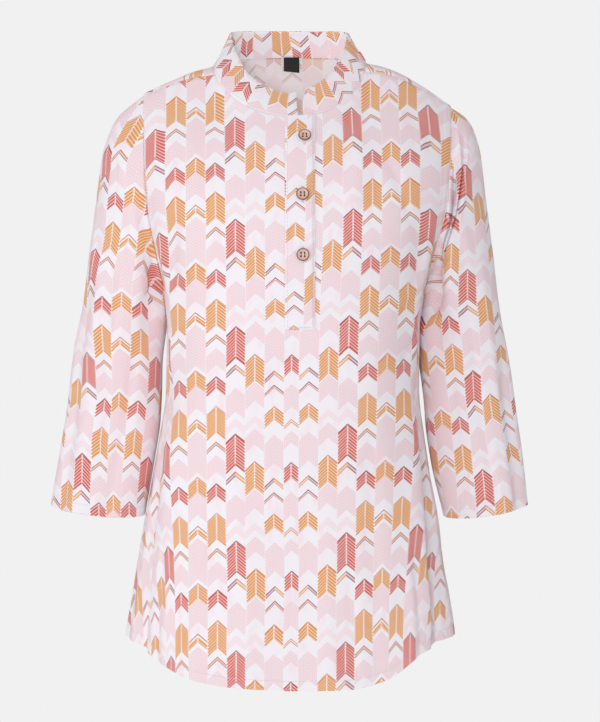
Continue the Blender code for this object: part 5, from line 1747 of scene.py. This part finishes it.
LABEL_LIFT, LABEL_WALL = -(CLOTH + 0.9), 0.5
LABEL_EDGE_LIFT, LABEL_EDGE_WIDTH = 0.25, 0.6


def neck_label():
    """The bare tag inside the back, below the collar seam, with soft edges."""
    across = np.concatenate([[0, 0.02, 0.05], np.linspace(0.1, 0.9, 14), [0.95, 0.98, 1]])
    x = (LABEL_EDGES[0] + (LABEL_EDGES[1] - LABEL_EDGES[0]) * across)[None, :]
    z = (LABEL_FOOT + (LABEL_TOP - LABEL_FOOT) * across)[:, None]
    edge = np.minimum(np.minimum(x - LABEL_EDGES[0], LABEL_EDGES[1] - x), z - LABEL_FOOT)
    z = z - LABEL_DROP * (x - LABEL_EDGES[0]) * (1 - across[:, None])
    lift = LABEL_LIFT + LABEL_EDGE_LIFT * (1 - smooth_step(edge, 0, LABEL_EDGE_WIDTH))
    outer = face_points("back", x, z, lift)
    inner = face_points("back", x, z, lift - LABEL_WALL)
    quads = quads_of(*z.shape[:1], x.shape[1])[:, ::-1]
    places = np.zeros((outer.shape[0] * outer.shape[1], 2))
    return shell(
        "neck_label_cloth", outer.reshape(-1, 3), inner.reshape(-1, 3), quads, places,
        slots=[LABEL_LOOK, LABEL_LOOK],
    )


# ---------------------------------------------------------------- the stage


FLOOR_HALF, FLOOR_Z = 3.0, -0.9


def stage_floor():
    mesh = bpy.data.meshes.new("floor")
    signs = ((-1, -1), (1, -1), (1, 1), (-1, 1))
    corners = [(a * FLOOR_HALF, b * FLOOR_HALF, FLOOR_Z) for a, b in signs]
    mesh.from_pydata(corners, [], [(0, 1, 2, 3)])
    mesh.materials.append(plain("floor_paint", (0.93, 0.93, 0.93), 0.9, 2.0, 0.0001, spots=0.01))
    floor = bpy.data.objects.new("floor", mesh)
    bpy.context.scene.collection.objects.link(floor)


def soft_light(name, place, aim, size, power):
    data = bpy.data.lights.new(name, "AREA")
    data.shape = "DISK"
    data.size = size
    data.energy = power
    light = bpy.data.objects.new(name, data)
    light.location = place
    light.rotation_mode = "QUATERNION"
    light.rotation_quaternion = (Vector(place) - Vector(aim)).to_track_quat("Z", "Y")
    light.visible_camera = False
    bpy.context.scene.collection.objects.link(light)


MM_PER_PIXEL = 0.68
IMAGE = (600, 722)
NECK_PIXEL = (293, 62)  # where the origin is in the image
CAMERA_DISTANCE = 16.0


def camera():
    data = bpy.data.cameras.new("camera")
    data.sensor_width = 36.0
    data.lens = data.sensor_width * CAMERA_DISTANCE / (IMAGE[1] * MM_PER_PIXEL * METRES)
    data.clip_end = 100.0
    made = bpy.data.objects.new("camera", data)
    x = (IMAGE[0] / 2 - NECK_PIXEL[0]) * MM_PER_PIXEL * METRES
    z = (NECK_PIXEL[1] - IMAGE[1] / 2) * MM_PER_PIXEL * METRES
    made.location = (x, -CAMERA_DISTANCE, z)
    made.rotation_euler = (math.pi / 2, 0, 0)
    bpy.context.scene.collection.objects.link(made)
    bpy.context.scene.camera = made


def sky(seen, lighting):
    """A plain studio: the pale grey that is seen, and the softer light that it gives."""
    world = bpy.data.worlds.new("studio")
    world.use_nodes = True
    nodes, links = world.node_tree.nodes, world.node_tree.links
    shown = nodes["Background"]
    shown.inputs["Color"].default_value = linear((seen, seen, seen))
    glow = nodes.new("ShaderNodeBackground")
    glow.inputs["Color"].default_value = lighting
    path, mix = nodes.new("ShaderNodeLightPath"), nodes.new("ShaderNodeMixShader")
    links.new(path.outputs["Is Camera Ray"], mix.inputs[0])
    links.new(glow.outputs[0], mix.inputs[1])
    links.new(shown.outputs[0], mix.inputs[2])
    links.new(mix.outputs[0], nodes["World Output"].inputs[0])
    bpy.context.scene.world = world


# ---------------------------------------------------------------- putting it together

front, front_halves = panel("front_panel_cloth", "front", PLACKET_EDGES[0] + NOTCH_MARGIN,
                            PLACKET_EDGES[1] - NOTCH_MARGIN, False)
back, back_halves = panel("back_panel_cloth", "back", -BACK_STRIP_HALF, BACK_STRIP_HALF, True)
sleeve_right, right_rings = sleeve(RIGHT, "sleeve_right_cloth")
sleeve_left, left_rings = sleeve(LEFT, "sleeve_left_cloth")
band, band_points, band_normals = collar()
low_x, high_x = PLACKET_EDGES
overlap = placket_band("placket_overlap_cloth", low_x, high_x, PLACKET_FOOT - PLACKET_LAP, LAYER)
inner_edge = NOTCH_MARGIN + UNDERLAP_INSET
underlap = placket_band("placket_underlap_cloth", low_x + inner_edge, high_x - inner_edge,
                        PLACKET_FOOT + UNDERLAP_INSET, 0.0)
label = neck_label()

for number, (x, z) in enumerate(BUTTON_SPOTS, 1):
    button(number, x, z)

front_sewing = stitches("hem_stitches_front", [hem_rows("front", front_halves)])
back_sewing = stitches("hem_stitches_back", [hem_rows("back", back_halves)])
right_sewing = stitches("cuff_stitches_right", [cuff_row(RIGHT, right_rings)])
left_sewing = stitches("cuff_stitches_left", [cuff_row(LEFT, left_rings)])
band_sewing = stitches("collar_stitches", collar_rows(band_points, band_normals))
placket_sewing = stitches("placket_stitches", placket_rows())
buttonholes = buttonhole_stitches()

# A piece of cloth, the node it stands for, its cut in metres and square metres, and its
# sewing. The cuts are measured along the model's own cloth and rounded.
Cut = namedtuple("Cut", "cloth node width length area sewing")
cuts = (
    Cut(front, "front_panel", 0.320, 0.440, 0.111, [front_sewing]),
    Cut(back, "back_panel", 0.315, 0.462, 0.117, [back_sewing]),
    Cut(sleeve_right, "sleeve_right", 0.191, 0.277, 0.043, [right_sewing]),
    Cut(sleeve_left, "sleeve_left", 0.182, 0.277, 0.040, [left_sewing]),
    Cut(band, "collar_band", 0.288, 0.0215, None, [band_sewing]),
    Cut(overlap, "placket_overlap", 0.0204, 0.166, None, [placket_sewing, buttonholes]),
    Cut(underlap, "placket_underlap", 0.0182, 0.162, None, []),
    Cut(label, "neck_label", 0.0108, 0.0115, None, []),
)
for cut in cuts:
    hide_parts(cut.node)

camera()
stage_floor()
sky(0.945, (0.55, 0.535, 0.54, 1))
soft_light("key", (-0.3, -3.0, 0.1), (0, 0, -0.2), 0.7, 27)
soft_light("inside", (0, -0.03, -0.075), (0, 0.05, -0.005), 0.06, 0.024)
soft_light("side", (-2.5, -1.7, 0.6), (0, 0, -0.2), 1.2, 16)
soft_light("back", (0.6, 3.1, 0.6), (0, 0, -0.2), 1.2, 20)
bpy.context.scene.view_settings.view_transform = "Standard"
